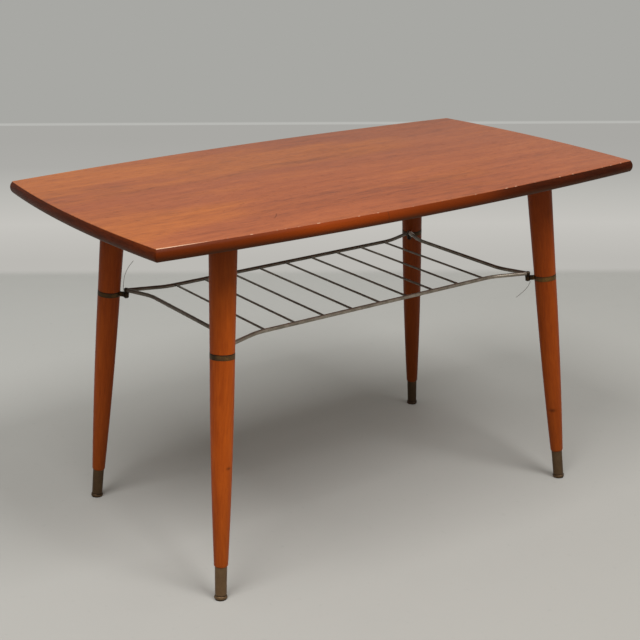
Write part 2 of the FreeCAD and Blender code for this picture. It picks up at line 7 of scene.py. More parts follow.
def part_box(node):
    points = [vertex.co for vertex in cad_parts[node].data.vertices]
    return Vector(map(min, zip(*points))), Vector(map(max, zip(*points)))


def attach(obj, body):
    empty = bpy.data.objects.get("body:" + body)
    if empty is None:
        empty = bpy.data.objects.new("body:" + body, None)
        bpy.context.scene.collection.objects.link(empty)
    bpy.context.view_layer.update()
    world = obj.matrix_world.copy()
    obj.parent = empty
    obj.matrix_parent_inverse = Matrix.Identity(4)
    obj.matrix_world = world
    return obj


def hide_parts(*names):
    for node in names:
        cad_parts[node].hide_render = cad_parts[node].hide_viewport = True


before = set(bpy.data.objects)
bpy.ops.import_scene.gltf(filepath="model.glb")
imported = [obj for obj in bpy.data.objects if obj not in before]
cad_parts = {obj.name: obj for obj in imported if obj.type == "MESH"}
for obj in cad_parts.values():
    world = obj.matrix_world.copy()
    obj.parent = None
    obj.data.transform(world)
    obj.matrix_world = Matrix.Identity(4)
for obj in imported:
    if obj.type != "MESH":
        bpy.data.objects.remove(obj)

# A low teak table with a wire magazine rack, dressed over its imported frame, in metres
scene = bpy.context.scene
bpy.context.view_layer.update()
corners = {"front_left": (-1, -1), "front_right": (1, -1), "rear_left": (-1, 1), "rear_right": (1, 1)}
creaseAngle = 32        # degrees, past which two faces meet in a crisp line
sameSpot = 1e-7         # nearer than this, two points are one


def byCorner(*values):  # one value for each leg, in the order of corners
    return dict(zip(corners, values))


# Node trees, written as sums

class Wire:  # one output of a node tree, used in sums like a number
    def __init__(self, tree, socket=None):
        self.tree = tree
        self.socket = socket

    def node(self, kind, sockets=None, out=0, **settings):  # any node: its settings, then its sockets
        made = self.tree.nodes.new(kind)
        for key, setting in settings.items():
            if key == "stops":
                ramp = made.color_ramp
                while len(ramp.elements) < len(setting):
                    ramp.elements.new(1)
                for stop, (spot, colour) in zip(ramp.elements, setting):
                    stop.position = spot
                    stop.color = colour
            else:
                setattr(made, key, setting)
        for key, given in (sockets or {}).items():
            if isinstance(given, Wire):
                self.tree.links.new(given.socket, made.inputs[key])
            else:
                made.inputs[key].default_value = given
        return Wire(self.tree, made.outputs[out])

    def math(self, operation, first, second=0.0):
        return self.node("ShaderNodeMath", {0: first, 1: second}, operation=operation)

    def __add__(self, other):
        return self.math("ADD", self, other)

    def __radd__(self, other):
        return self.math("ADD", other, self)

    def __sub__(self, other):
        return self.math("SUBTRACT", self, other)

    def __rsub__(self, other):
        return self.math("SUBTRACT", other, self)

    def __mul__(self, other):
        return self.math("MULTIPLY", self, other)

    def __rmul__(self, other):
        return self.math("MULTIPLY", other, self)

    def __truediv__(self, other):
        return self.math("DIVIDE", self, other)

    def __rtruediv__(self, other):
        return self.math("DIVIDE", other, self)

    def step(self, low, high):  # 0 below low, 1 above high, smooth between
        return self.node("ShaderNodeMapRange", {"Value": self, "From Min": low, "From Max": high},
                         interpolation_type="SMOOTHSTEP")

    def blend(self, mask, colour, kind="MIX"):  # this colour, going over to another by a mask
        return self.node("ShaderNodeMix", {0: mask, 6: self, 7: colour}, out=2,
                         data_type="RGBA", blend_type=kind)

    def spread(self, stretch):  # this place, stretched along its three axes
        return self.node("ShaderNodeVectorMath", {0: self, 1: stretch}, operation="MULTIPLY")

    def noise(self, scale, detail=2.0, rough=0.5):
        return self.node("ShaderNodeTexNoise", {"Vector": self, "Scale": scale, "Detail": detail,
                                                "Roughness": rough})

    def axis(self, number):
        return self.node("ShaderNodeSeparateXYZ", {0: self}, out=number)

    def swing(self, amount):  # a noise, brought to swing about zero
        return (self - 0.5) * amount

    def near(self, full, gone):  # 1 within a length from zero, 0 past another
        return 1 - self.math("ABSOLUTE", self).step(full, gone)

    def ramp(self, spots, colours):  # colours that this value goes through
        return self.node("ShaderNodeValToRGB", {0: self}, stops=list(zip(spots, colours)))


def srgb(red, green, blue):  # a screen colour as the light values that shaders take
    parts = [part / 255 for part in (red, green, blue)]
    return tuple(part / 12.92 if part < 0.04 else ((part + 0.055) / 1.055) ** 2.4 for part in parts) + (1.0,)


def newMaterial(name, fixed):  # an empty surface with its unvarying numbers set on the shader
    material = bpy.data.materials.new(name)
    material.use_nodes = True
    shader = material.node_tree.nodes["Principled BSDF"]
    for socket, number in fixed.items():
        shader.inputs[socket].default_value = number
    return material, Wire(material.node_tree), shader


def feed(shader, wires):
    for socket, wire in wires.items():
        wire.tree.links.new(wire.socket, shader.inputs[socket])


def objectPlace(wire, origin=(0, 0, 0), turn=(0, 0, 0)):  # Object coordinates, seen from a piece's own frame
    place = wire.node("ShaderNodeTexCoord", out=3)
    return wire.node("ShaderNodeMapping", {"Vector": place, "Location": origin, "Rotation": turn},
                     vector_type="TEXTURE")


def framePlace(wire, stand):  # the same, from a frame such as a leg's
    return objectPlace(wire, stand.translation, tuple(stand.to_euler()))


# Wood

teak = {
    # Noise per metre along the grain and across it, then its detail and its roughness
    "patch": ((1.6, 4.5, 4.5), 2.0, 0.5),
    "streak": ((5.0, 58.0, 58.0), 4.0, 0.6),
    "fine": ((30.0, 330.0, 330.0), 3.0, 0.65),
    "pore": ((50.0, 900.0, 900.0), 1.0, 0.5),
    "stray": ((2.2, 3.0, 3.0), 1.0, 0.5),
    "strayBy": 0.05,                    # how far the grain wanders sideways
    "poreStep": (0.62, 0.72),
    "toneSpots": (0.24, 0.44, 0.58, 0.78),
    "roughBy": {"fine": 0.10, "patch": 0.12, "pore": 0.08},
    "poreDepth": 1.6,                   # against the height of the fibres
    "fibreBump": 0.5,
    "fibreDepth": 0.00004,
    "ior": 1.5,
}


def lighter(tones, factor):  # the same tones with more or less light in them
    return tuple(tuple(part * factor for part in tone[:3]) + (1.0,) for tone in tones)


def teakNoise(place, kind):
    stretch, detail, rough = teak[kind]
    return place.spread(stretch).noise(1.0, detail, rough)


def woodSurface(name, tones, look, origin=(0, 0, 0), turn=(0, 0, 0), marks=None):
    # The grain runs along X of the piece's own frame; tones go from dark to light
    material, wire, shader = newMaterial(name, {"IOR": teak["ior"], "Specular IOR Level": look["gloss"]})
    place = objectPlace(wire, origin, turn)
    stray = teakNoise(place, "stray").swing(teak["strayBy"])
    sideways = wire.node("ShaderNodeCombineXYZ", {"Y": stray, "Z": stray})
    grain = place.node("ShaderNodeVectorMath", {0: place, 1: sideways}, operation="ADD")
    patch = teakNoise(grain, "patch")
    streak = teakNoise(grain, "streak")
    fine = teakNoise(grain, "fine")
    pore = teakNoise(grain, "pore").step(*teak["poreStep"])
    tone = 0.5 + patch.swing(look["patch"]) + streak.swing(look["streak"]) + fine.swing(look["fine"])
    colour = tone.ramp(teak["toneSpots"], tones)
    colour = colour.blend(pore * look["pore"], tones[0], "MULTIPLY")
    by = teak["roughBy"]
    rough = look["rough"] + fine.swing(by["fine"]) + patch.swing(by["patch"]) + pore * by["pore"]
    if marks:
        colour, rough = marks(place, colour, rough)
    bump = wire.node("ShaderNodeBump", {"Height": fine - pore * teak["poreDepth"],
                                        "Strength": teak["fibreBump"], "Distance": teak["fibreDepth"]})
    feed(shader, {"Base Color": colour, "Roughness": rough, "Normal": bump})
    return material


# Metal

agedFilm = {
    "cloudShare": 0.7,          # of the film's pattern, and the rest is specks
    "speckScale": 9,            # specks and scuffs are this many times finer than clouds
    "scuffScale": 22,
    "toneSpots": (0.0, 0.5, 1.0),
    "pitStep": (0.66, 0.74),    # specks as strong as this are pits
    "pitCover": 0.6,
    "roughBy": {"scuff": 0.12, "pit": 0.15},
    "dullBy": {"film": 0.25, "pit": 0.3},       # how much less metallic
    "scuffHeight": 0.5,         # against the depth of a pit
    "bump": 0.35,
    "depth": 0.00006,
    "ior": 1.5,
}
metalLook = {                   # what the metals share, beside tones of their own
    "cloud": 60.0,              # noise per metre of the film
    "drawn": 1.0,               # below 1, scuffs are drawn out along Z of the piece's frame
    "film": (0.25, 0.75),
    "rough": 0.34,
    "roughFilm": 0.14,
    "metallic": 0.95,
}


def agedMetal(name, look, origin=(0, 0, 0), turn=(0, 0, 0), paintedLight=1.0, marks=None):
    # Dull metal under a patchy brown film, with pits and fine scuffs
    material, wire, shader = newMaterial(name, {"IOR": agedFilm["ior"]})
    place = objectPlace(wire, origin, turn)
    cloud = place.noise(look["cloud"], detail=4.0, rough=0.6)
    speck = place.noise(look["cloud"] * agedFilm["speckScale"], detail=2.0, rough=0.6)
    scuff = place.spread((1, 1, look["drawn"])).noise(look["cloud"] * agedFilm["scuffScale"], detail=1.0)
    film = cloud * agedFilm["cloudShare"] + speck * (1 - agedFilm["cloudShare"])
    film = film.step(*look["film"])
    pit = speck.step(*agedFilm["pitStep"])
    # the tones are scaled by a factor of painted light and shade
    colour = film.ramp(agedFilm["toneSpots"], lighter(look["tones"], paintedLight))
    colour = colour.blend(pit * agedFilm["pitCover"], look["pit"])
    if marks:
        colour = marks(wire, colour)
    by = agedFilm["roughBy"]
    rough = look["rough"] + film * look["roughFilm"] + scuff.swing(by["scuff"]) + pit * by["pit"]
    metallic = look["metallic"] - film * agedFilm["dullBy"]["film"] - pit * agedFilm["dullBy"]["pit"]
    bump = wire.node("ShaderNodeBump", {"Height": scuff * agedFilm["scuffHeight"] - pit,
                                        "Strength": agedFilm["bump"], "Distance": agedFilm["depth"]})
    feed(shader, {"Base Color": colour, "Roughness": rough, "Metallic": metallic, "Normal": bump})
    return material


# Shapes

def soften(points, cut, steps=4, blunt=165, most=0.45):
    # Rounds the corners of an open outline that are sharper than blunt, by at most this share of a side
    kept = [Vector(points[0])]
    for before, here, after in zip(points, points[1:], points[2:]):
        here = Vector(here)
        back = Vector(before) - here
        ahead = Vector(after) - here
        if back.length * ahead.length == 0 or back.angle(ahead) > math.radians(blunt):
            kept.append(here)
            continue
        start = here + back.normalized() * min(cut, back.length * most)
        end = here + ahead.normalized() * min(cut, ahead.length * most)
        for number in range(steps + 1):
            t = number / steps
            kept.append(start * (1 - t) ** 2 + here * 2 * t * (1 - t) + end * t ** 2)
    kept.append(Vector(points[-1]))
    return kept


def arc(middle, radii, start, stop, steps):  # points of a round or oval stretch
    angles = [start + (stop - start) * number / steps for number in range(steps + 1)]
    return [(middle[0] + radii[0] * math.cos(a), middle[1] + radii[1] * math.sin(a)) for a in angles]


def domed(level, radius, tall, steps):  # a dome's outline, from inside its rim to its crown
    return arc((0, level), (radius, tall), 0, math.pi / 2, steps)[1:-1] + [(0, level + tall)]


def turned(profile, place, steps=72):  # a lathe piece from (radius, height) points along its axis
    work = bmesh.new()
    rings = []
    for radius, height in profile:
        count = 1 if radius < sameSpot else steps
        angles = [2 * math.pi * number / steps for number in range(count)]
        rings.append([work.verts.new((radius * math.cos(a), radius * math.sin(a), height)) for a in angles])
    for low, high in zip(rings, rings[1:]):
        for number in range(steps):
            after = (number + 1) % steps
            around = (low[number % len(low)], low[after % len(low)], high[after % len(high)],
                      high[number % len(high)])
            face = list(dict.fromkeys(around))      # a ring on the axis is one point, named once
            if len(face) > 2:
                work.faces.new(face)
    return meshOf(work, place)


def meshOf(work, place=None, crease=creaseAngle):  # closes a bmesh into a smooth mesh with crisp creases
    bmesh.ops.remove_doubles(work, verts=work.verts, dist=sameSpot)
    bmesh.ops.recalc_face_normals(work, faces=work.faces)
    mesh = bpy.data.meshes.new("shape")
    work.to_mesh(mesh)
    work.free()
    if place:
        mesh.transform(place)
    mesh.shade_smooth()
    mesh.set_sharp_from_angle(angle=math.radians(crease))
    return mesh


def cutAway(mesh, point, outward):  # takes off what lies past a plane and closes the cut
    work = bmesh.new()
    work.from_mesh(mesh)
    everything = work.verts[:] + work.edges[:] + work.faces[:]
    cut = bmesh.ops.bisect_plane(work, geom=everything, plane_co=point, plane_no=outward, clear_outer=True)
    rim = [part for part in cut["geom_cut"] if isinstance(part, bmesh.types.BMEdge)]
    bmesh.ops.edgenet_fill(work, edges=rim)
    work.to_mesh(mesh)
    work.free()
    mesh.shade_smooth()
    mesh.set_sharp_from_angle(angle=math.radians(creaseAngle))


def linked(name, data):  # a new object in the scene
    made = bpy.data.objects.new(name, data)
    scene.collection.objects.link(made)
    return made


def addPiece(name, mesh, nodes, material=None):  # a piece of the table, and the CAD nodes it stands for
    mesh.name = name
    if material:
        mesh.materials.append(material)
    piece = linked(name, mesh)
    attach(piece, "root")
    if nodes:
        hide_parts(*nodes)


def dressNode(node, material):  # a CAD node whose shape is right takes a finished material
    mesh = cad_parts[node].data
    mesh.materials.clear()
    mesh.materials.append(material)


# Geometry Nodes

def newTree(name, inputs):  # a tree with named inputs; gives it and a wire for each input
    tree = bpy.data.node_groups.new(name, "GeometryNodeTree")
    tree.interface.new_socket("Geometry", in_out="INPUT", socket_type="NodeSocketGeometry")
    for label, kind in inputs.items():
        tree.interface.new_socket(label, in_out="INPUT", socket_type=f"NodeSocket{kind}")
    tree.interface.new_socket("Geometry", in_out="OUTPUT", socket_type="NodeSocketGeometry")
    entry = tree.nodes.new("NodeGroupInput")
    return tree, {socket.name: Wire(tree, socket) for socket in entry.outputs if socket.name}


def closeTree(shape, material):  # smooth, realised and with its material
    smooth = shape.node("GeometryNodeSetShadeSmooth", {"Geometry": shape})
    real = smooth.node("GeometryNodeRealizeInstances", {"Geometry": smooth})
    done = real.node("GeometryNodeSetMaterial", {"Geometry": real, "Material": material})
    outlet = shape.tree.nodes.new("NodeGroupOutput")
    shape.tree.links.new(done.socket, outlet.inputs[0])


def runTree(tree, mesh, values, crease=40):  # the plain mesh that a tree makes of a start mesh
    carrier = linked(f"{tree.name}_start", mesh)
    step = carrier.modifiers.new(tree.name, "NODES")
    step.node_group = tree
    for socket in tree.interface.items_tree:
        if socket.in_out == "INPUT" and socket.name in values:
            step[socket.identifier] = values[socket.name]
    ready = carrier.evaluated_get(bpy.context.evaluated_depsgraph_get())
    result = bpy.data.meshes.new_from_object(ready)
    carrier.modifiers.remove(step)
    bpy.data.objects.remove(carrier)
    result.set_sharp_from_angle(angle=math.radians(crease))
    return result


def pathMesh(points, closed=False):
    mesh = bpy.data.meshes.new("path")
    links = [(number, number + 1) for number in range(len(points) - 1)]
    if closed:
        links.append((len(points) - 1, 0))
    mesh.from_pydata([tuple(point) for point in points], links, [])
    return mesh


def startPath(given):  # the start mesh's edges as a curve
    start = given["Geometry"]
    return start.node("GeometryNodeMeshToCurve", {"Mesh": start})


def roundTube(path, radius, sides):  # a tube along a curve, closed at both ends
    ring = path.node("GeometryNodeCurvePrimitiveCircle", {"Resolution": sides, "Radius": radius})
    return path.node("GeometryNodeCurveToMesh", {"Curve": path, "Profile Curve": ring, "Fill Caps": True})


def bentRodTree(bendSteps=10):  # a round rod along a path whose corners are bent to a radius
    tree, given = newTree("bentRod", {"Rod Radius": "Float", "Bend Radius": "Float", "Sides": "Int",
                                      "Metal": "Material"})
    path = startPath(given)
    bent = path.node("GeometryNodeFilletCurve", {"Curve": path, "Count": bendSteps, "Limit Radius": True,
                                                 "Radius": given["Bend Radius"]}, mode="POLY")
    closeTree(roundTube(bent, given["Rod Radius"], given["Sides"]), given["Metal"])
    return tree


def stripTree(edgeSteps=3):  # a flat strip, on edge, along a level path
    tree, given = newTree("flatStrip", {"Thickness": "Float", "Tall": "Float", "Edge Radius": "Float",
                                        "Metal": "Material"})
    path = startPath(given)
    upright = path.node("GeometryNodeSetCurveNormal", {"Curve": path}, mode="Z_UP")
    section = path.node("GeometryNodeCurvePrimitiveQuadrilateral",
                        {"Width": given["Thickness"], "Height": given["Tall"]})
    eased = section.node("GeometryNodeFilletCurve", {"Curve": section, "Count": edgeSteps,
                                                     "Radius": given["Edge Radius"]}, mode="POLY")
    strip = upright.node("GeometryNodeCurveToMesh", {"Curve": upright, "Profile Curve": eased})
    closeTree(strip, given["Metal"])
    return tree


def barRowTree(points=160, sides=16, weldShare=0.014):
    # A row of equal bars across, which swell a little where they are welded, over a share of their length
    tree, given = newTree("barRow", {"Count": "Int", "Spacing": "Float", "Half Length": "Float",
                                     "Bar Radius": "Float", "Weld Swell": "Float", "Metal": "Material"})
    half = given["Half Length"]
    near = half.node("ShaderNodeCombineXYZ", {"Y": 0 - half})
    far = half.node("ShaderNodeCombineXYZ", {"Y": half})
    line = half.node("GeometryNodeCurvePrimitiveLine", {"Start": near, "End": far})
    line = line.node("GeometryNodeResampleCurve", {"Curve": line, "Count": points})
    along = half.node("GeometryNodeSplineParameter")
    fromEnd = half.math("MINIMUM", along, 1 - along)
    weld = 1 - fromEnd.step(0.0, weldShare)
    swell = 1 + weld * given["Weld Swell"]
    line = line.node("GeometryNodeSetCurveRadius", {"Curve": line, "Radius": swell})
    bar = roundTube(line, given["Bar Radius"], sides)
    first = half.node("ShaderNodeCombineXYZ", {"X": given["Spacing"] * (1 - given["Count"]) / 2})
    offset = half.node("ShaderNodeCombineXYZ", {"X": given["Spacing"]})
    row = half.node("GeometryNodeMeshLine",
                    {"Count": given["Count"], "Start Location": first, "Offset": offset})
    bars = row.node("GeometryNodeInstanceOnPoints", {"Points": row, "Instance": bar})
    closeTree(bars, given["Metal"])
    return tree


def screwTree(mostTurn=3.1, seed=7):  # the same screw head at every point of the start mesh, turned at random
    tree, given = newTree("screwHeads", {"Head": "Object", "Metal": "Material"})
    start = given["Geometry"]
    head = start.node("GeometryNodeObjectInfo", {"Object": given["Head"]}, out=4)
    turnBy = start.node("FunctionNodeRandomValue", {2: 0.0, 3: mostTurn, "Seed": seed}, out=1,
                        data_type="FLOAT")
    spin = start.node("ShaderNodeCombineXYZ", {"Z": turnBy})
    heads = start.node("GeometryNodeInstanceOnPoints", {"Points": start, "Instance": head, "Rotation": spin})
    closeTree(heads, given["Metal"])
    return tree


def wireTree(points=120, sides=8):  # a thin wire along a smooth path
    tree, given = newTree("bindingWire", {"Wire Radius": "Float", "Metal": "Material"})
    path = startPath(given)
    smooth = path.node("GeometryNodeCurveSplineType", {"Curve": path}, spline_type="NURBS")
    even = smooth.node("GeometryNodeResampleCurve", {"Curve": smooth, "Count": points})
    closeTree(roundTube(even, given["Wire Radius"], sides), given["Metal"])
    return tree


# Table top

top = {
    "length": 0.900,
    "width": 0.509,
    "level": 0.548,
    "thick": 0.0180,
    "veneer": 0.0008,
    "sideBow": 4.110,       # radius of the long sides
    "endBow": 1.990,        # radius of the ends
    "lipping": 0.013,
    "edgeBow": 0.0038,      # how far the edge swells out between its two arrises
    "faceSteps": 14,
    "arris": 0.0006,        # rounding of the veneer's rim
    "rimSteps": 4,
    "lowArris": 0.0006,
    "cornerRound": 0.0045,
    "tones": (srgb(108, 50, 24), srgb(146, 74, 37), srgb(158, 83, 43), srgb(174, 99, 52)),
    "look": {"rough": 0.42, "gloss": 0.5, "patch": 0.5, "streak": 0.45, "fine": 0.58, "pore": 0.45},
    "backingGloss": 0.2,
    "coreTones": (srgb(160, 128, 88), srgb(182, 150, 106), srgb(194, 162, 118), srgb(206, 176, 132)),
    "coreRough": 0.7,
    # Yellower wood towards the left end: noise per metre of its patches, and its tint over the plain tone
    "warmPatch": (2.2, 9.0, 1.0),
    "warmBy": (2.4, -0.8),              # by the noise, and by each metre to the right
    "warmStep": (1.15, 1.65),
    "warmTint": (1.20, 1.29, 0.80, 1),
    # Scratches: each one's place, angle and length
    "scratches": ((-0.222, -0.181, 50, 0.030), (-0.225, -0.098, 15, 0.012), (-0.266, -0.116, 20, 0.006),
                  (-0.024, -0.179, 160, 0.007)),
    "scratchWidth": (0.00033, 0.0011),  # full to the first, gone past the second
    "scratchTaper": 0.7,                # share of its half length that is full
    "scratchBend": 6.0,
    "scratchTone": srgb(74, 34, 16),
    "scratchCover": 0.6,
    "scratchRough": 0.15,
    "arrisHighlightTone": srgb(236, 196, 164),  # a painted highlight along the front arris, at the near corner
    "arrisHighlightReach": (-0.410, -0.345),
    "arrisHighlightWidth": (0.00064, 0.0016),
    "arrisHighlightCover": 0.65,
    "arrisSpots": 95.0,                      # small spots of the same painted highlight further along it, noise per metre
    "arrisSpotStep": (0.62, 0.72),
    "arrisSpotCover": 0.6,
}
edge = {
    "tones": (srgb(40, 12, 2), srgb(61, 22, 4), srgb(79, 29, 5), srgb(97, 40, 9)),
    "look": {"rough": 0.40, "gloss": 0.06, "patch": 0.5, "streak": 0.6, "fine": 0.4, "pore": 0.4},
    "grainShift": (0.3, 0.2, 0.1),      # so that its grain isn't the top's
    "shadeAndJointTone": srgb(71, 38, 16),        # painted shade and a painted floor reflection on the lower half of the bowed face, and the dark of the front's butt joint
    "lowRise": (0.08, 0.56),            # shares of the thickness
    "lowCover": 0.85,
    "mitreStep": (0.35, 0.95),
    "mitreCover": 0.5,
    "frontPaintedShade": 0.52,                 # painted shade: the front's tones against the other edges'
    "frontLitTone": srgb(152, 62, 12),      # painted light along the front
    # How much painted light it takes, from the left end, where 0 is, to the right end, where 1 is
    "litAlong": ((0.0, 0.23), (0.15, 0.31), (0.22, 0.48), (0.29, 0.70), (0.39, 0.59), (0.49, 0.43),
                  (0.60, 0.33), (0.66, 0.10), (0.72, 0.02)),
    "darkLine": -0.082,                     # a butt joint in the front strip
    "seamWidth": (0.00028, 0.0007),
    "seamCover": 0.8,
}


def sharpCorner(inset):  # where a long side and an end meet, at plus X and plus Y
    side = top["sideBow"] - inset
    end = top["endBow"] - inset
    sideMiddle = Vector((0, top["width"] / 2 - top["sideBow"]))
    endMiddle = Vector((top["length"] / 2 - top["endBow"], 0))
    between = endMiddle - sideMiddle
    along = (side ** 2 - end ** 2 + between.length ** 2) / (2 * between.length)
    across = math.sqrt(side ** 2 - along ** 2)
    between.normalize()
    return sideMiddle + between * along + Vector((between.y, -between.x)) * across


def bowedEdge(inset, longSide, runSteps=72, cornerSteps=5):
    # Half an edge at plus Y (long side) or plus X (end), from its middle to the mitre, as plan points
    rounding = top["cornerRound"]
    hub = sharpCorner(max(rounding, inset))
    radius = max(rounding - inset, 0)
    if longSide:
        middle = Vector((0, top["width"] / 2 - top["sideBow"]))
        bow = top["sideBow"] - inset
        start = math.pi / 2
    else:
        middle = Vector((top["length"] / 2 - top["endBow"], 0))
        bow = top["endBow"] - inset
        start = 0.0
    towards = hub - middle
    stop = math.atan2(towards.y, towards.x)
    points = []
    for number in range(runSteps + 1):
        angle = start + (stop - start) * number / runSteps
        points.append(middle + Vector((math.cos(angle), math.sin(angle))) * bow)
    outward = sharpCorner(0) - hub
    mitre = math.atan2(outward.y, outward.x)
    for number in range(1, cornerSteps + 1):
        angle = stop + (mitre - stop) * number / cornerSteps
        points.append(hub + Vector((math.cos(angle), math.sin(angle))) * radius)
    return points


def edgeSection():  # the lipping's section as points of inset and level, up its bowed face
    low = top["level"] - top["thick"]
    high = top["level"] - top["veneer"]
    half = (high - low) / 2
    radius = (half ** 2 + top["edgeBow"] ** 2) / (2 * top["edgeBow"])
    sweep = math.asin(half / radius)
    section = [(top["lipping"], low)]
    for number in range(top["faceSteps"] + 1):
        angle = sweep * (2 * number / top["faceSteps"] - 1)
        section.append((radius * (1 - math.cos(angle)), low + half + radius * math.sin(angle)))
    section[1:3] = soften(section[:4], top["lowArris"])[1:-1]
    section.append((top["lipping"], high))
    return section


def lippingMesh(longSide, side):
    section = edgeSection()
    work = bmesh.new()
    joint = work.verts.layers.float.new("joint")
    loops = []
    for inset, level in section:
        run = bowedEdge(inset, longSide)
        flip = Vector((-1, 1)) if longSide else Vector((1, -1))
        whole = [point * flip for point in reversed(run[1:])] + run
        loops.append([work.verts.new((point.x, point.y, level)) for point in whole])
    for loop in loops:
        for vert in (loop[0], loop[-1]):
            vert[joint] = 1.0
    count = len(loops)
    for number in range(count):
        here = loops[number]
        after = loops[(number + 1) % count]
        for step in range(len(here) - 1):
            work.faces.new((here[step], here[step + 1], after[step + 1], after[step]))
    work.faces.new([loop[0] for loop in loops])
    work.faces.new([loop[-1] for loop in loops])
    bmesh.ops.dissolve_degenerate(work, edges=work.edges, dist=sameSpot)
    turn = Matrix.Rotation(0 if side > 0 else math.pi, 4, "Z")
    return meshOf(work, turn, crease=40)


def wholeOutline(inset):  # once round the top, from the middle of the rear side
    quarter = bowedEdge(inset, True) + bowedEdge(inset, False)[-2::-1]
    parts = ((1, 1, quarter), (1, -1, quarter[-2::-1]), (-1, -1, quarter[1:]), (-1, 1, quarter[-2:0:-1]))
    return [(point.x * x, point.y * y) for x, y, part in parts for point in part]


def veneerMesh():  # the sheet that runs out over the lipping, with a softened rim
    rim = top["arris"]
    section = [(top["edgeBow"], top["level"] - top["veneer"])]
    section += arc((top["edgeBow"] + rim, top["level"] - rim), (-rim, rim), 0, math.pi / 2, top["rimSteps"])
    work = bmesh.new()
    loops = []
    for inset, level in section:
        loops.append([work.verts.new((x, y, level)) for x, y in wholeOutline(inset)])
    for here, after in zip(loops, loops[1:]):
        for step in range(len(here)):
            work.faces.new((here[step - 1], here[step], after[step], after[step - 1]))
    work.faces.new(loops[0])
    work.faces.new(loops[-1])
    return meshOf(work, crease=50)


def topMarks(place, colour, rough):  # a warmer left end, a painted highlight on the front arris and a few short scratches
    x = place.axis(0)
    y = place.axis(1)
    cloud = place.spread(top["warmPatch"]).noise(1.0, detail=3.0)
    byNoise, byPlace = top["warmBy"]
    warm = (cloud * byNoise + x * byPlace).step(*top["warmStep"])
    colour = colour.blend(warm, top["warmTint"], "MULTIPLY")
    arris = y + (top["width"] / 2 - top["edgeBow"]) - x * x / (2 * top["sideBow"])
    arrisSpot = x.node("ShaderNodeTexNoise", {"W": x, "Scale": top["arrisSpots"], "Detail": 2.0}, noise_dimensions="1D")
    arrisSpot = arrisSpot.step(*top["arrisSpotStep"]) * top["arrisSpotCover"]
    # painted highlight along the front arris, and spots of it further along
    arrisHighlight = x.math("MAXIMUM", 1 - x.step(*top["arrisHighlightReach"]), arrisSpot)
    arrisHighlight = arris.near(*top["arrisHighlightWidth"]) * arrisHighlight * top["arrisHighlightCover"]
    colour = colour.blend(arrisHighlight, top["arrisHighlightTone"])
    for spotX, spotY, angle, length in top["scratches"]:
        lean = math.radians(angle)
        across = x - spotX
        along = y - spotY
        mainWay = across * math.cos(lean) + along * math.sin(lean)
        bend = mainWay * mainWay * top["scratchBend"]
        offWay = across * -math.sin(lean) + along * math.cos(lean) - bend
        within = mainWay.near(length / 2 * top["scratchTaper"], length / 2)
        mark = offWay.near(*top["scratchWidth"]) * within
        colour = colour.blend(mark * top["scratchCover"], top["scratchTone"])
        rough = rough + mark * top["scratchRough"]
    return colour, rough


def edgeMarks(place, colour, rough):  # painted shade and floor reflection below, with dark hair lines at the mitres
    rise = (objectPlace(place).axis(2) - (top["level"] - top["thick"])) / top["thick"]
    # painted shade and floor reflection over the lower half
    low = (1 - rise.step(*edge["lowRise"])) * edge["lowCover"]
    joint = place.node("ShaderNodeAttribute", out=2, attribute_name="joint").step(*edge["mitreStep"])
    colour = colour.blend(low, edge["shadeAndJointTone"])
    return colour.blend(joint * edge["mitreCover"], edge["tones"][0]), rough


def frontMarks(place, colour, rough):  # painted light makes the front lighter left of its middle, and it has a joint
    x = objectPlace(place).axis(0)
    spots, shares = zip(*edge["litAlong"])
    # painted light along the front
    litShare = (x / top["length"] + 0.5).ramp(spots, [(share, share, share, 1) for share in shares])
    colour = colour.blend(litShare, edge["frontLitTone"])
    darkLine = (x - edge["darkLine"]).near(*edge["seamWidth"]) * edge["seamCover"]
    return edgeMarks(place, colour.blend(darkLine, edge["shadeAndJointTone"]), rough)


def lippingWood(name, paintedLight, marks, turn=0.0):
    # the tones are scaled by a factor of painted light and shade
    tones = lighter(edge["tones"], paintedLight)
    return woodSurface(name, tones, edge["look"], edge["grainShift"], (0, 0, turn), marks)


veneerWood = woodSurface("teakVeneer", top["tones"], top["look"], marks=topMarks)
frontWood = lippingWood("teakLippingFront", edge["frontPaintedShade"], frontMarks)
rearWood = lippingWood("teakLippingRear", 1.0, edgeMarks)
endWood = lippingWood("teakLippingEnds", 1.0, edgeMarks, math.pi / 2)
backingWood = woodSurface("teakBacking", top["tones"], {**top["look"], "gloss": top["backingGloss"]})
coreWood = woodSurface("coreBlockboard", top["coreTones"], {**top["look"], "rough": top["coreRough"]})
lippings = {"front": (True, -1, frontWood), "rear": (True, 1, rearWood), "left": (False, -1, endWood),
            "right": (False, 1, endWood)}
dressNode("backing_veneer", backingWood)
dressNode("top_core", coreWood)
addPiece("topVeneer", veneerMesh(), ["top_veneer"], veneerWood)
for name, (longSide, side, wood) in lippings.items():
    addPiece(f"{name}Lipping", lippingMesh(longSide, side), [f"{name}_lipping"], wood)
print("top: veneer, core and four lippings")


# Legs and ferrules

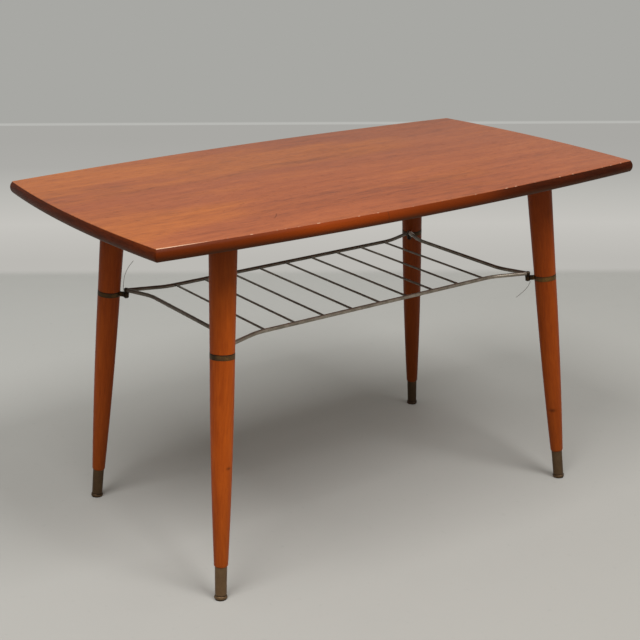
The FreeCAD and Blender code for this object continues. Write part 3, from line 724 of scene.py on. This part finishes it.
leg = {
    "foot": (0.3405, 0.2005),       # where the axis meets the floor, from the middle
    "seat": (0.2945, 0.1602),       # and where it meets the underside
    "spigot": 0.00735,              # radius in the ferrule
    "endGap": 0.0001,               # from the spigot's end to the ferrule's base
    "toe": 0.0103,                  # radii above the ferrule, at the band and at the top
    "waist": 0.0177,
    "crown": 0.0200,
    "bulge": 0.0013,                # how far the flank swells between toe and waist
    "toeChamfer": 0.0014,
    "toeLevel": 0.0504,
    "bandLow": 0.3594,
    "bandHigh": 0.3674,
    "groove": 0.0169,
    "topLevel": 0.5260,
    "boltHole": 0.0041,
    "boltDepth": 0.0421,
    "arris": 0.0007,
    "flankSteps": 40,
    "grainTurn": 1.7,               # from one leg to the next
    "tones": (srgb(84, 30, 5), srgb(138, 58, 10), srgb(164, 76, 16), srgb(186, 94, 26)),
    # mostly painted light and shade, darker for the legs in shade, with some of the wood's own tone
    "paintedLight": byCorner(1.21, 0.97, 0.90, 0.55),
    "look": {"rough": 0.42, "gloss": 0.10, "patch": 0.5, "streak": 0.17, "fine": 0.22, "pore": 0.15},
    "shadeTone": srgb(53, 25, 8),       # painted shadow under the top, and darker towards the foot
    "shade": byCorner(0.60, 0.30, 0.55, 0.50),
    "shadeRise": (0.36, 0.54),
    "footShade": 0.24,
    "footRise": (0.05, 0.22),
    # Knots: each one's place in the frame of its leg, and its reach
    "knots": {"front_left": (-0.0074, -0.0124, 0.2018, 0.0072),
              "front_right": (0.0030, 0.0124, 0.1292, 0.0100)},
    "knotShape": (1.0, 1.0, 1.9),       # knots are wider than tall
    "knotTone": srgb(46, 17, 4),
    "knotCover": 0.6,
}
ferrule = {
    "top": 0.0090,                      # radii at its rim, at its low end and of the bead
    "low": 0.00845,
    "wall": 0.0010,
    "base": 0.0024,                     # thickness under the leg
    "bead": 0.0097,
    "beadLevel": 0.0029,
    "beadThick": 0.0050,
    "beadSteps": 12,
    "arris": 0.0003,
    "creaseShadeLevel": 0.0062,                # painted shade in the corner above the bead
    "creaseShadeWidth": (0.00032, 0.0016),
    "shadeCover": 0.6,
    "soleRise": (0.00078, 0.0026),      # and painted shade round the sole, under the bead
    "soleCover": 0.8,
    "paintedShadeTone": srgb(20, 14, 9),
    # painted light and shade: each ferrule's tones scaled by how it is lit
    "paintedLight": byCorner(0.70, 0.48, 0.40, 0.27),
    "look": {**metalLook, "tones": (srgb(152, 122, 89), srgb(131, 102, 72), srgb(110, 82, 56)),
             "pit": srgb(60, 44, 30), "drawn": 0.2, "film": (0.10, 0.90), "rough": 0.40, "roughFilm": 0.12},
}


def legFrame(corner):  # foot on the floor, Z up the leg and X towards the middle of the table
    sideX, sideY = corners[corner]
    foot = Vector((sideX * leg["foot"][0], sideY * leg["foot"][1], 0))
    seat = Vector((sideX * leg["seat"][0], sideY * leg["seat"][1], top["level"] - top["thick"]))
    upward = (seat - foot).normalized()
    sideways = Vector((0, 0, 1)).cross(upward).normalized()
    inward = sideways.cross(upward)
    return Matrix.Translation(foot) @ Matrix((inward, sideways, upward)).transposed().to_4x4()


def legProfile():  # from the spigot in the ferrule, up the flank and the band's groove to the bolt's hole
    end = ferrule["base"] + leg["endGap"]
    points = [(0, end), (leg["spigot"], end), (leg["spigot"], leg["toeLevel"]),
              (leg["toe"] - leg["toeChamfer"], leg["toeLevel"])]
    start = leg["toeLevel"] + leg["toeChamfer"]
    for number in range(leg["flankSteps"] + 1):
        t = number / leg["flankSteps"]
        radius = leg["toe"] + (leg["waist"] - leg["toe"]) * t + 4 * leg["bulge"] * t * (1 - t)
        points.append((radius, start + (leg["bandLow"] - start) * t))
    upper = (("groove", "bandLow"), ("groove", "bandHigh"), ("waist", "bandHigh"), ("crown", "topLevel"),
             ("boltHole", "topLevel"))
    points += [(leg[radius], leg[level]) for radius, level in upper]
    holeEnd = leg["topLevel"] - leg["boltDepth"]
    points += [(leg["boltHole"], holeEnd), (0, holeEnd)]
    return soften(points, leg["arris"])


def ferruleProfile():  # reaches below the floor, where it is then cut level
    half = ferrule["beadThick"] / 2
    bead = (ferrule["bead"] - ferrule["low"], half)
    inside = ferrule["low"] - ferrule["wall"]
    points = [(0, -half), (ferrule["low"], -half), (ferrule["low"], ferrule["beadLevel"] - half)]
    quarter = math.pi / 2
    points += arc((ferrule["low"], ferrule["beadLevel"]), bead, -quarter, quarter, ferrule["beadSteps"])
    points += [(ferrule["top"], leg["toeLevel"]), (inside, leg["toeLevel"]), (inside, ferrule["base"]),
               (0, ferrule["base"])]
    return soften(points, ferrule["arris"], steps=2)


def legMarks(corner):
    def marks(place, colour, rough):
        rise = objectPlace(place).axis(2)
        # painted shadow under the top, and darker towards the foot
        shade = rise.step(*leg["shadeRise"]) * leg["shade"][corner]
        foot = (1 - rise.step(*leg["footRise"])) * leg["footShade"]
        colour = colour.blend(shade + foot, leg["shadeTone"])
        if corner in leg["knots"]:
            *spot, reach = leg["knots"][corner]
            knot = framePlace(place, legFrame(corner) @ Matrix.Translation(spot)).spread(leg["knotShape"])
            away = knot.node("ShaderNodeVectorMath", {0: knot}, out=1, operation="LENGTH")
            colour = colour.blend((1 - away.step(0.0, reach)) * leg["knotCover"], leg["knotTone"])
        return colour, rough
    return marks


def ferruleMarks(corner):
    def marks(wire, colour):
        rise = framePlace(wire, legFrame(corner)).axis(2)
        # painted shade in the crease above the bead and round the sole
        shadeMask = (rise - ferrule["creaseShadeLevel"]).near(*ferrule["creaseShadeWidth"]) * ferrule["shadeCover"]
        sole = (1 - rise.step(*ferrule["soleRise"])) * ferrule["soleCover"]
        return colour.blend(shadeMask, ferrule["paintedShadeTone"]).blend(sole, ferrule["paintedShadeTone"])
    return marks


for number, corner in enumerate(corners):
    stand = legFrame(corner)
    grain = stand.to_3x3() @ Matrix.Rotation(-math.pi / 2, 3, "Y")      # its X runs up the leg
    grain = grain @ Matrix.Rotation(number * leg["grainTurn"], 3, "X")
    grainSpot = stand.translation - Vector((0, 0, number))
    legWood = woodSurface(f"teakLeg_{corner}", lighter(leg["tones"], leg["paintedLight"][corner]), leg["look"],
                          grainSpot, tuple(grain.to_euler()), legMarks(corner))
    addPiece(f"turnedLeg_{corner}", turned(legProfile(), stand), [f"leg_{corner}"], legWood)
    brass = agedMetal(f"agedBrass_{corner}", ferrule["look"], stand.translation + Vector((number, 0, 0)),
                      tuple(stand.to_euler()), ferrule["paintedLight"][corner], ferruleMarks(corner))
    cup = turned(ferruleProfile(), stand)
    cutAway(cup, (0, 0, 0), (0, 0, -1))
    addPiece(f"brassFerrule_{corner}", cup, [f"ferrule_{corner}"], brass)
print("legs: four turned legs with ferrules")


# Bands, pins and rack

band = {
    "tall": 0.0080,
    "thick": 0.0009,
    "ring": 0.01745,        # radius to the middle of the strip
    "ringSteps": 96,
    "eye": 0.00365,
    "eyeSteps": 32,
    "eyeReach": 0.0283,
    "slit": 0.0004,
    "edge": 0.00022,
    "paintedShadeTone": srgb(24, 18, 12),       # painted shade on the eye and its neck, along both edges and on one side
    "eyeShadeReach": (0.007, 0.012),
    "shadeCover": 0.8,
    "edgeShadeReach": (0.0004, 0.0019),
    "darkLine": byCorner(0.9, 0.6, 0.9, 0.5),
    "lowEdgeShade": 0.5,                     # the lower edge's painted shade line, against the upper edge's
    "sideShade": byCorner(0.75, 0.0, 0.3, 0.0),
    "sideShadeReach": (-0.004, 0.009),
    # painted light and shade: each band's tones scaled by how it is lit
    "paintedLight": byCorner(1.6, 1.1, 0.6, 0.5),
    "look": {**metalLook, "tones": (srgb(128, 92, 46), srgb(94, 68, 36), srgb(58, 42, 25)),
             "pit": srgb(34, 25, 16), "rough": 0.36},
}
pin = {
    "place": (0.28802, 0.15452),
    "shank": 0.0025,
    "point": 0.0006,        # chamfer at its low end
    "head": 0.0035,
    "seat": 0.36224,
    "headTop": 0.36744,
    "dome": 0.0016,
    "domeSteps": 8,
    "tail": 0.35213,
    "arris": 0.0003,
    # painted light and shade: each pin's tones scaled by how it is lit
    "paintedLight": byCorner(0.5, 0.25, 0.2, 0.25),
    "crown": byCorner(0.5, 0.8, 0.1, 0.3),      # how strong the painted glint on the dome is
    "crownTone": srgb(138, 125, 106),
    "crownRise": (0.3660, 0.3678),
}
rack = {
    "level": 0.36524,
    "rod": 0.0030,
    "rodSides": 28,
    "rodTip": 0.9,              # a rod ends short of its pin's axis by this share of the pin's head
    "bend": 0.080,
    "railReach": 0.13322,       # the rails' straight run: its distance from the middle and half its length
    "railStraight": 0.21312,
    "endReach": 0.26982,        # and the end rods'
    "endStraight": 0.09082,
    "bars": 9,
    "barSpacing": 0.05278,
    "barHalf": 0.1305,
    "bar": 0.0017,
    "weldSwell": 0.35,
    # painted light and shade: the front rail lighter as lit, the other rods and the bars darker as shaded
    "barPaintedLight": 0.33,
    "rodPaintedLight": {"front_rail": 0.60, "left_end_rod": 0.30, "right_end_rod": 0.34, "rear_rail": 0.29},
    "look": {**metalLook, "tones": (srgb(223, 212, 197), srgb(189, 177, 160), srgb(143, 131, 115)),
             "pit": srgb(72, 62, 51), "drawn": 0.6, "film": (0.20, 0.75)},
}
pinX, pinY = pin["place"]


def bandPath():  # once round the leg, out along the neck, round the eye and back
    neck = band["slit"] / 2 + band["thick"] / 2
    opening = math.asin(neck / band["ring"])
    gap = math.asin(neck / band["eye"])
    ring = arc((0, 0), [band["ring"]] * 2, opening, 2 * math.pi - opening, band["ringSteps"])
    eye = arc((band["eyeReach"], 0), [band["eye"]] * 2, math.pi + gap, 3 * math.pi - gap, band["eyeSteps"])
    return [(x, y, 0) for x, y in ring + eye]


def bandMarks(corner):
    sideX, sideY = corners[corner]

    def marks(wire, colour):
        onLeg = framePlace(wire, legFrame(corner))
        # painted shade on one side, along both edges and round the eye
        shadedSide = onLeg.axis(1).step(*band["sideShadeReach"]) * band["sideShade"][corner]
        rise = onLeg.axis(2)
        upper = 1 - (leg["bandHigh"] - rise).step(*band["edgeShadeReach"])
        lower = 1 - (rise - leg["bandLow"]).step(*band["edgeShadeReach"])
        darkLine = (upper + lower * band["lowEdgeShade"]) * band["darkLine"][corner]
        place = objectPlace(wire, (pinX * sideX, pinY * sideY, 0))
        x = place.axis(0)
        y = place.axis(1)
        away = x.math("SQRT", x * x + y * y)
        eye = (1 - away.step(*band["eyeShadeReach"])) * band["shadeCover"]
        for shadeMask in (shadedSide, darkLine, eye):
            colour = colour.blend(shadeMask, band["paintedShadeTone"])
        return colour
    return marks


def pinMarks(corner):
    def marks(wire, colour):
        # a painted glint on the dome
        glint = objectPlace(wire).axis(2).step(*pin["crownRise"])
        return colour.blend(glint * pin["crown"][corner], pin["crownTone"])
    return marks


def pinProfile():
    points = [(0, pin["tail"]), (pin["shank"] - pin["point"], pin["tail"]),
              (pin["shank"], pin["tail"] + pin["point"]), (pin["shank"], pin["seat"]),
              (pin["head"], pin["seat"]), (pin["head"], pin["headTop"])]
    points += domed(pin["headTop"], pin["head"], pin["dome"], pin["domeSteps"])
    return soften(points, pin["arris"], steps=2)


def rodCorner(reach, straight, pinAlong, pinOut):  # where the lines of a straight run and its arm cross
    toward = Vector((pinAlong - straight, pinOut - reach - rack["bend"]))
    tangent = math.sqrt(toward.length_squared - rack["bend"] ** 2)
    bend = math.atan2(toward.y, toward.x) - math.atan2(tangent, rack["bend"]) + math.pi / 2
    return straight + rack["bend"] * math.tan(bend / 2)


def rodMesh(metal, reach, bendAt, pinAlong, pinOut, turn):  # one bent rod between two pins
    arm = (Vector((pinAlong, pinOut, 0)) - Vector((bendAt, reach, 0))).normalized()
    tip = Vector((pinAlong, pinOut, 0)) - arm * pin["head"] * rack["rodTip"]
    points = [(-tip.x, tip.y, 0), (-bendAt, reach, 0), (bendAt, reach, 0), (tip.x, tip.y, 0)]
    mesh = runTree(rodTree, pathMesh(points), {"Rod Radius": rack["rod"], "Bend Radius": rack["bend"],
                                               "Sides": rack["rodSides"], "Metal": metal})
    mesh.transform(Matrix.Translation((0, 0, rack["level"])) @ Matrix.Rotation(math.radians(turn), 4, "Z"))
    return mesh


rodTree = bentRodTree()
railCorner = rodCorner(rack["railReach"], rack["railStraight"], pinX, pinY)
endCorner = rodCorner(rack["endReach"], rack["endStraight"], pinY, pinX)
rods = {
    "rear_rail": (rack["railReach"], railCorner, pinX, pinY, 0),
    "front_rail": (rack["railReach"], railCorner, pinX, pinY, 180),
    "left_end_rod": (rack["endReach"], endCorner, pinY, pinX, 90),
    "right_end_rod": (rack["endReach"], endCorner, pinY, pinX, -90),
}
railArm = Vector((pinX - railCorner, pinY - rack["railReach"], 0)).normalized()
endArm = Vector((pinX - rack["endReach"], pinY - endCorner, 0)).normalized()
mitre = (railArm + endArm).normalized()         # two arms are cut along this, at plus X and plus Y
for node, shape in rods.items():
    rodMetal = agedMetal(f"rackMetal_{node}", rack["look"], paintedLight=rack["rodPaintedLight"][node])
    mesh = rodMesh(rodMetal, *shape)
    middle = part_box(node)[0].lerp(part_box(node)[1], 0.5)
    for sideX, sideY in corners.values():
        if middle.x * sideX + middle.y * sideY < 0:     # this rod doesn't reach that corner
            continue
        across = Vector((mitre.y * sideX, -mitre.x * sideY, 0))
        point = Vector((pinX * sideX, pinY * sideY, rack["level"]))
        cutAway(mesh, point, across if across.dot(middle - point) < 0 else -across)
    addPiece("rackRod_" + node, mesh, [node])

barMetal = agedMetal("rackBarMetal", rack["look"], paintedLight=rack["barPaintedLight"])
barNodes = [f"cross_bar_{number + 1}" for number in range(rack["bars"])]
bars = runTree(barRowTree(), pathMesh([(0, 0, 0)]), {
    "Count": rack["bars"], "Spacing": rack["barSpacing"], "Half Length": rack["barHalf"],
    "Bar Radius": rack["bar"], "Weld Swell": rack["weldSwell"], "Metal": barMetal})
bars.transform(Matrix.Translation((0, 0, rack["level"])))
addPiece("rackBars", bars, barNodes)

strip = stripTree()
for corner, (sideX, sideY) in corners.items():
    bandMetal = agedMetal(f"bandBrass_{corner}", band["look"], paintedLight=band["paintedLight"][corner],
                          marks=bandMarks(corner))
    clip = runTree(strip, pathMesh(bandPath(), closed=True), {
        "Thickness": band["thick"], "Tall": band["tall"], "Edge Radius": band["edge"], "Metal": bandMetal})
    clip.transform(legFrame(corner) @ Matrix.Translation((0, 0, (leg["bandLow"] + leg["bandHigh"]) / 2)))
    addPiece(f"brassBand_{corner}", clip, [f"leg_band_{corner}"])
    pinMetal = agedMetal(f"pinMetal_{corner}", band["look"], paintedLight=pin["paintedLight"][corner],
                         marks=pinMarks(corner))
    headed = turned(pinProfile(), Matrix.Translation((pinX * sideX, pinY * sideY, 0)), steps=32)
    addPiece(f"rackPin_{corner}", headed, [f"corner_pin_{corner}"], pinMetal)
print("rack: rods, bars, pins and bands")


# Fixings under the top and the binding wires

screw = {
    "circle": 0.029,
    "perPlate": 4,
    "head": 0.0040,
    "headTall": 0.0022,
    "side": 0.45,           # share of the head's height below its dome
    "domeSteps": 6,
    "arris": 0.0003,
    "slot": 0.0009,
    "slotLong": 0.020,
    "slotDepth": 0.0010,
    "plateLow": 0.5275,
    "look": {**metalLook, "tones": (srgb(176, 174, 168), srgb(150, 148, 142), srgb(120, 116, 108)),
             "pit": srgb(84, 72, 58), "cloud": 70.0, "film": (0.3, 0.75)},
}
bindingWire = {
    "radius": 0.0004,
    "turns": {"rear_left": 2, "front_right": 2, "rear_right": 6},
    "turnSteps": 12,
    "pitch": {"rear_left": 0.0009, "front_right": 0.0009, "rear_right": 0.0027},
    "rodStart": 0.004,      # from the pin to the turns that go round an end rod
    # painted light: each wire's tones scaled by how it is lit, the rear right one as a painted glint
    "paintedLight": {"rear_left": 0.7, "front_right": 0.7, "rear_right": 2.0},
    "across": (0.817, -0.577, 0.0),     # level, to the right in the photograph
    "unit": 0.001,
    # Each tail as millimetres across the photograph, up and nearer, from where its turns end
    "tails": {
        "rear_left": ((-5.2, 2.0, 0.0), (-5.0, 10.0, 0.0), (-3.8, 22.7, 0.0), (-2.4, 32.8, 0.0),
                      (2.0, 45.4, 0.0), (7.6, 54.3, 0.0), (14.0, 61.1, 0.0)),
        "front_right": ((4.9, 0.0, 0.0), (2.9, -6.9, 0.0), (-3.0, -15.7, 0.0), (-10.2, -22.8, 0.0),
                        (-17.7, -28.8, 0.0)),
        "rear_right": ((-1.5, 3.2, 5.0), (1.0, 4.4, 6.0), (2.6, 1.5, 6.4), (4.4, -2.4, 6.6),
                       (5.6, -5.0, 6.8)),
    },
}
steel = agedMetal("zincSteel", screw["look"])
for corner in corners:
    dressNode(f"leg_plate_{corner}", steel)
    dressNode(f"hanger_bolt_{corner}", steel)


def screwHead():  # a slotted pan head hanging from the plate
    side = screw["headTall"] * screw["side"]
    outline = [(0, 0), (screw["head"], 0), (screw["head"], -side)]
    outline += domed(-side, screw["head"], side - screw["headTall"], screw["domeSteps"])
    outline = soften(outline, screw["arris"], steps=2)
    head = linked("screwHeadPattern", turned(outline, Matrix.Identity(4), steps=28))
    groove = bpy.data.meshes.new("groove")
    block = bmesh.new()
    bmesh.ops.create_cube(block, size=1)
    block.to_mesh(groove)
    block.free()
    slotSize = Matrix.Diagonal((screw["slotLong"], screw["slot"], 2 * screw["slotDepth"], 1))
    groove.transform(Matrix.Translation((0, 0, -screw["headTall"])) @ slotSize)
    cutter = linked("slotPattern", groove)
    cut = head.modifiers.new("slot", "BOOLEAN")
    cut.operation = "DIFFERENCE"
    cut.object = cutter
    ready = head.evaluated_get(bpy.context.evaluated_depsgraph_get())
    slotted = bpy.data.meshes.new_from_object(ready)
    head.modifiers.remove(cut)
    head.data = slotted
    bpy.data.objects.remove(cutter)
    return head


places = []
for sideX, sideY in corners.values():
    for number in range(screw["perPlate"]):
        angle = 2 * math.pi / screw["perPlate"] * (number + 0.5)
        places.append((leg["seat"][0] * sideX + screw["circle"] * math.cos(angle),
                       leg["seat"][1] * sideY + screw["circle"] * math.sin(angle), screw["plateLow"]))
pattern = screwHead()
heads = runTree(screwTree(), pathMesh(places), {"Head": pattern, "Metal": steel})
bpy.data.objects.remove(pattern)
addPiece("plateScrews", heads, [])


def coil(base, along, leave, around, turns, pitch):  # turns about an axis that end at its base, on one side
    points = []
    steps = bindingWire["turnSteps"]
    for number in range(steps * turns + 1):
        left = turns - number / steps
        angle = 2 * math.pi * left
        side = leave * math.cos(angle) + along.cross(leave) * math.sin(angle)
        points.append(base + side * around + along * pitch * left)
    return points


worldUp = Vector((0, 0, 1))
photoRight = Vector(bindingWire["across"])
nearer = photoRight.cross(worldUp)
wires = wireTree()
for corner, tail in bindingWire["tails"].items():
    sideX, sideY = corners[corner]
    radius = bindingWire["radius"]
    winding = (bindingWire["turns"][corner], bindingWire["pitch"][corner])
    if corner == "rear_right":      # bound round the end rod, beside its pin
        arm = -endArm
        base = Vector((pinX, pinY, rack["level"])) + arm * bindingWire["rodStart"]
        points = coil(base, arm, arm.cross(worldUp), rack["rod"] + radius, *winding)
    else:                           # and round the low end of the pin
        base = Vector((pinX * sideX, pinY * sideY, pin["tail"] + radius))
        leave = photoRight if tail[0][0] > 0 else -photoRight
        points = coil(base, worldUp, leave, pin["shank"] + radius, *winding)
    for across, up, out in tail:
        points.append(base + (photoRight * across + worldUp * up + nearer * out) * bindingWire["unit"])
    wireMetal = agedMetal(f"wireSteel_{corner}", screw["look"], paintedLight=bindingWire["paintedLight"][corner])
    mesh = runTree(wires, pathMesh(points), {"Wire Radius": radius, "Metal": wireMetal})
    addPiece(f"bindingWire_{corner}", mesh, [])
print("fixings: plate screws and binding wires")


# Studio

photoCamera = {
    "place": (-1.1779, -1.6390, 1.0098),
    "yaw": 35.21,           # degrees
    "pitch": 19.386,
    "roll": -0.238,
    "lens": 73.82,          # millimetres
    "sensor": 36.0,
}
studio = {
    "floorTones": (srgb(184, 184, 180), srgb(160, 157, 151)),       # painted light falloff, from far left to near right
    "floorLightFade": (0.24, -0.38),         # how fast they change across the view and away, per metre
    "dustTone": srgb(120, 121, 118),    # faint clouds and specks on it
    "clouds": 2.2,
    "cloudCover": 0.25,
    "specks": 70.0,
    "speckStep": (0.62, 0.74),
    "speckCover": 0.10,
    "floorRough": 0.55,
    "cloudRough": 0.2,
    "floorIor": 1.4,
    # tones that the floor's far zone glows in, as painted light
    "farTones": (srgb(187, 185, 180), srgb(197, 195, 190), srgb(186, 185, 180), srgb(172, 171, 167),
                 srgb(169, 168, 164)),
    "farSpots": (0.06, 0.24, 0.42, 0.62, 0.85),
    "farLine": 1.226,       # where the floor's tone changes, behind the middle along the view
    "farBlur": 0.014,
    "wallLine": 3.219,      # and where the wall stands
    "wallTall": 4.0,
    "wallTone": srgb(168, 168, 164),
    "wallRough": 0.8,
    "lineTone": srgb(184, 184, 180),    # a pale line along the wall's foot
    "lineRise": (0.008, 0.010),         # where it ends, and where the wall's own tone begins
    "size": 14.0,
    "worldTone": (1.0, 0.98, 0.93, 1.0),
    "worldLight": 0.43,
    "boxes": {"leftSoftbox": ((-1.94, -0.84, 4.0), 106.0), "rightSoftbox": ((0.51, -2.57, 4.0), 138.0)},
    "boxSize": 1.8,
}

yaw = math.radians(photoCamera["yaw"])
pitch = math.radians(photoCamera["pitch"])
roll = math.radians(photoCamera["roll"])
ahead = Vector((math.sin(yaw) * math.cos(pitch), math.cos(yaw) * math.cos(pitch), -math.sin(pitch)))
acrossView = Vector((math.cos(yaw), -math.sin(yaw), 0))
alongView = Vector((math.sin(yaw), math.cos(yaw), 0))
aboveView = acrossView.cross(ahead)
cameraRight = acrossView * math.cos(roll) + aboveView * math.sin(roll)
cameraUp = aboveView * math.cos(roll) - acrossView * math.sin(roll)
lens = bpy.data.cameras.new("photoCamera")
lens.sensor_width = photoCamera["sensor"]
lens.lens = photoCamera["lens"]
camera = linked("photoCamera", lens)
camera.matrix_world = (Matrix.Translation(photoCamera["place"])
                       @ Matrix((cameraRight, cameraUp, -ahead)).transposed().to_4x4())
scene.camera = camera


def stagePlane(name, points, material):
    mesh = bpy.data.meshes.new(name)
    mesh.from_pydata([tuple(point) for point in points], [], [(0, 1, 2, 3)])
    mesh.materials.append(material)
    linked(name, mesh)


def backdropGlow(wire, shader, tone, where=None):  # a backdrop that glows in its own tone, seen by eye and in reflections: painted light
    path = wire.node("ShaderNodeLightPath").socket.node
    rays = [Wire(wire.tree, path.outputs[f"Is {kind} Ray"]) for kind in ("Camera", "Glossy", "Transmission")]
    seen = wire.math("MAXIMUM", wire.math("MAXIMUM", rays[0], rays[1]), rays[2])
    if where:
        seen = seen * where
    glow = wire.node("ShaderNodeEmission", {"Color": tone})
    lit = Wire(wire.tree, shader.outputs[0])
    both = wire.node("ShaderNodeMixShader", {0: seen, 1: lit, 2: glow})
    wire.tree.links.new(both.socket, wire.tree.nodes["Material Output"].inputs["Surface"])


floorPaint, wire, shader = newMaterial("floorPaint", {"IOR": studio["floorIor"]})
place = objectPlace(wire, (0, 0, 0), (0, 0, -yaw))      # X across the view, Y along it
cloud = place.noise(studio["clouds"], detail=4.0, rough=0.6)
speck = place.noise(studio["specks"], detail=3.0, rough=0.6).step(*studio["speckStep"])
fadeAcross, fadeAway = studio["floorLightFade"]
fade = place.axis(0) * fadeAcross + place.axis(1) * fadeAway + 0.5
bare = fade.ramp((0.0, 1.0), studio["floorTones"])
bare = bare.blend(cloud.swing(studio["cloudCover"]) + speck * studio["speckCover"], studio["dustTone"])
feed(shader, {"Base Color": bare, "Roughness": studio["floorRough"] + cloud * studio["cloudRough"]})
depth = (place.axis(1) - studio["farLine"]) / (studio["wallLine"] - studio["farLine"])
farTone = depth.ramp(studio["farSpots"], studio["farTones"])
backdropGlow(wire, shader, farTone, depth.step(-studio["farBlur"], studio["farBlur"]))
half = studio["size"] / 2
floorCorners = [(-half, -half, 0), (half, -half, 0), (half, half, 0), (-half, half, 0)]
stagePlane("studioFloor", floorCorners, floorPaint)

wallLook = {"Roughness": studio["wallRough"], "Base Color": studio["wallTone"]}
wallPaint, wire, shader = newMaterial("wallPaint", wallLook)
height = objectPlace(wire).axis(2)
lineTone = studio["lineTone"]
backdropGlow(wire, shader, height.ramp((0.0, *studio["lineRise"]), (lineTone, lineTone, studio["wallTone"])))
left = alongView * studio["wallLine"] - acrossView * half
right = alongView * studio["wallLine"] + acrossView * half
rise = Vector((0, 0, studio["wallTall"]))
stagePlane("studioWall", [left, right, right + rise, left + rise], wallPaint)

world = bpy.data.worlds.new("studioWorld")
world.use_nodes = True
scene.world = world
sky = world.node_tree.nodes["Background"]
sky.inputs["Color"].default_value = studio["worldTone"]
sky.inputs["Strength"].default_value = studio["worldLight"]

for name, (spot, power) in studio["boxes"].items():
    softbox = bpy.data.lights.new(name, "AREA")
    softbox.size = studio["boxSize"]
    softbox.energy = power
    linked(name, softbox).location = spot
scene.view_settings.view_transform = "Standard"
print("studio: camera, floor, wall and light")
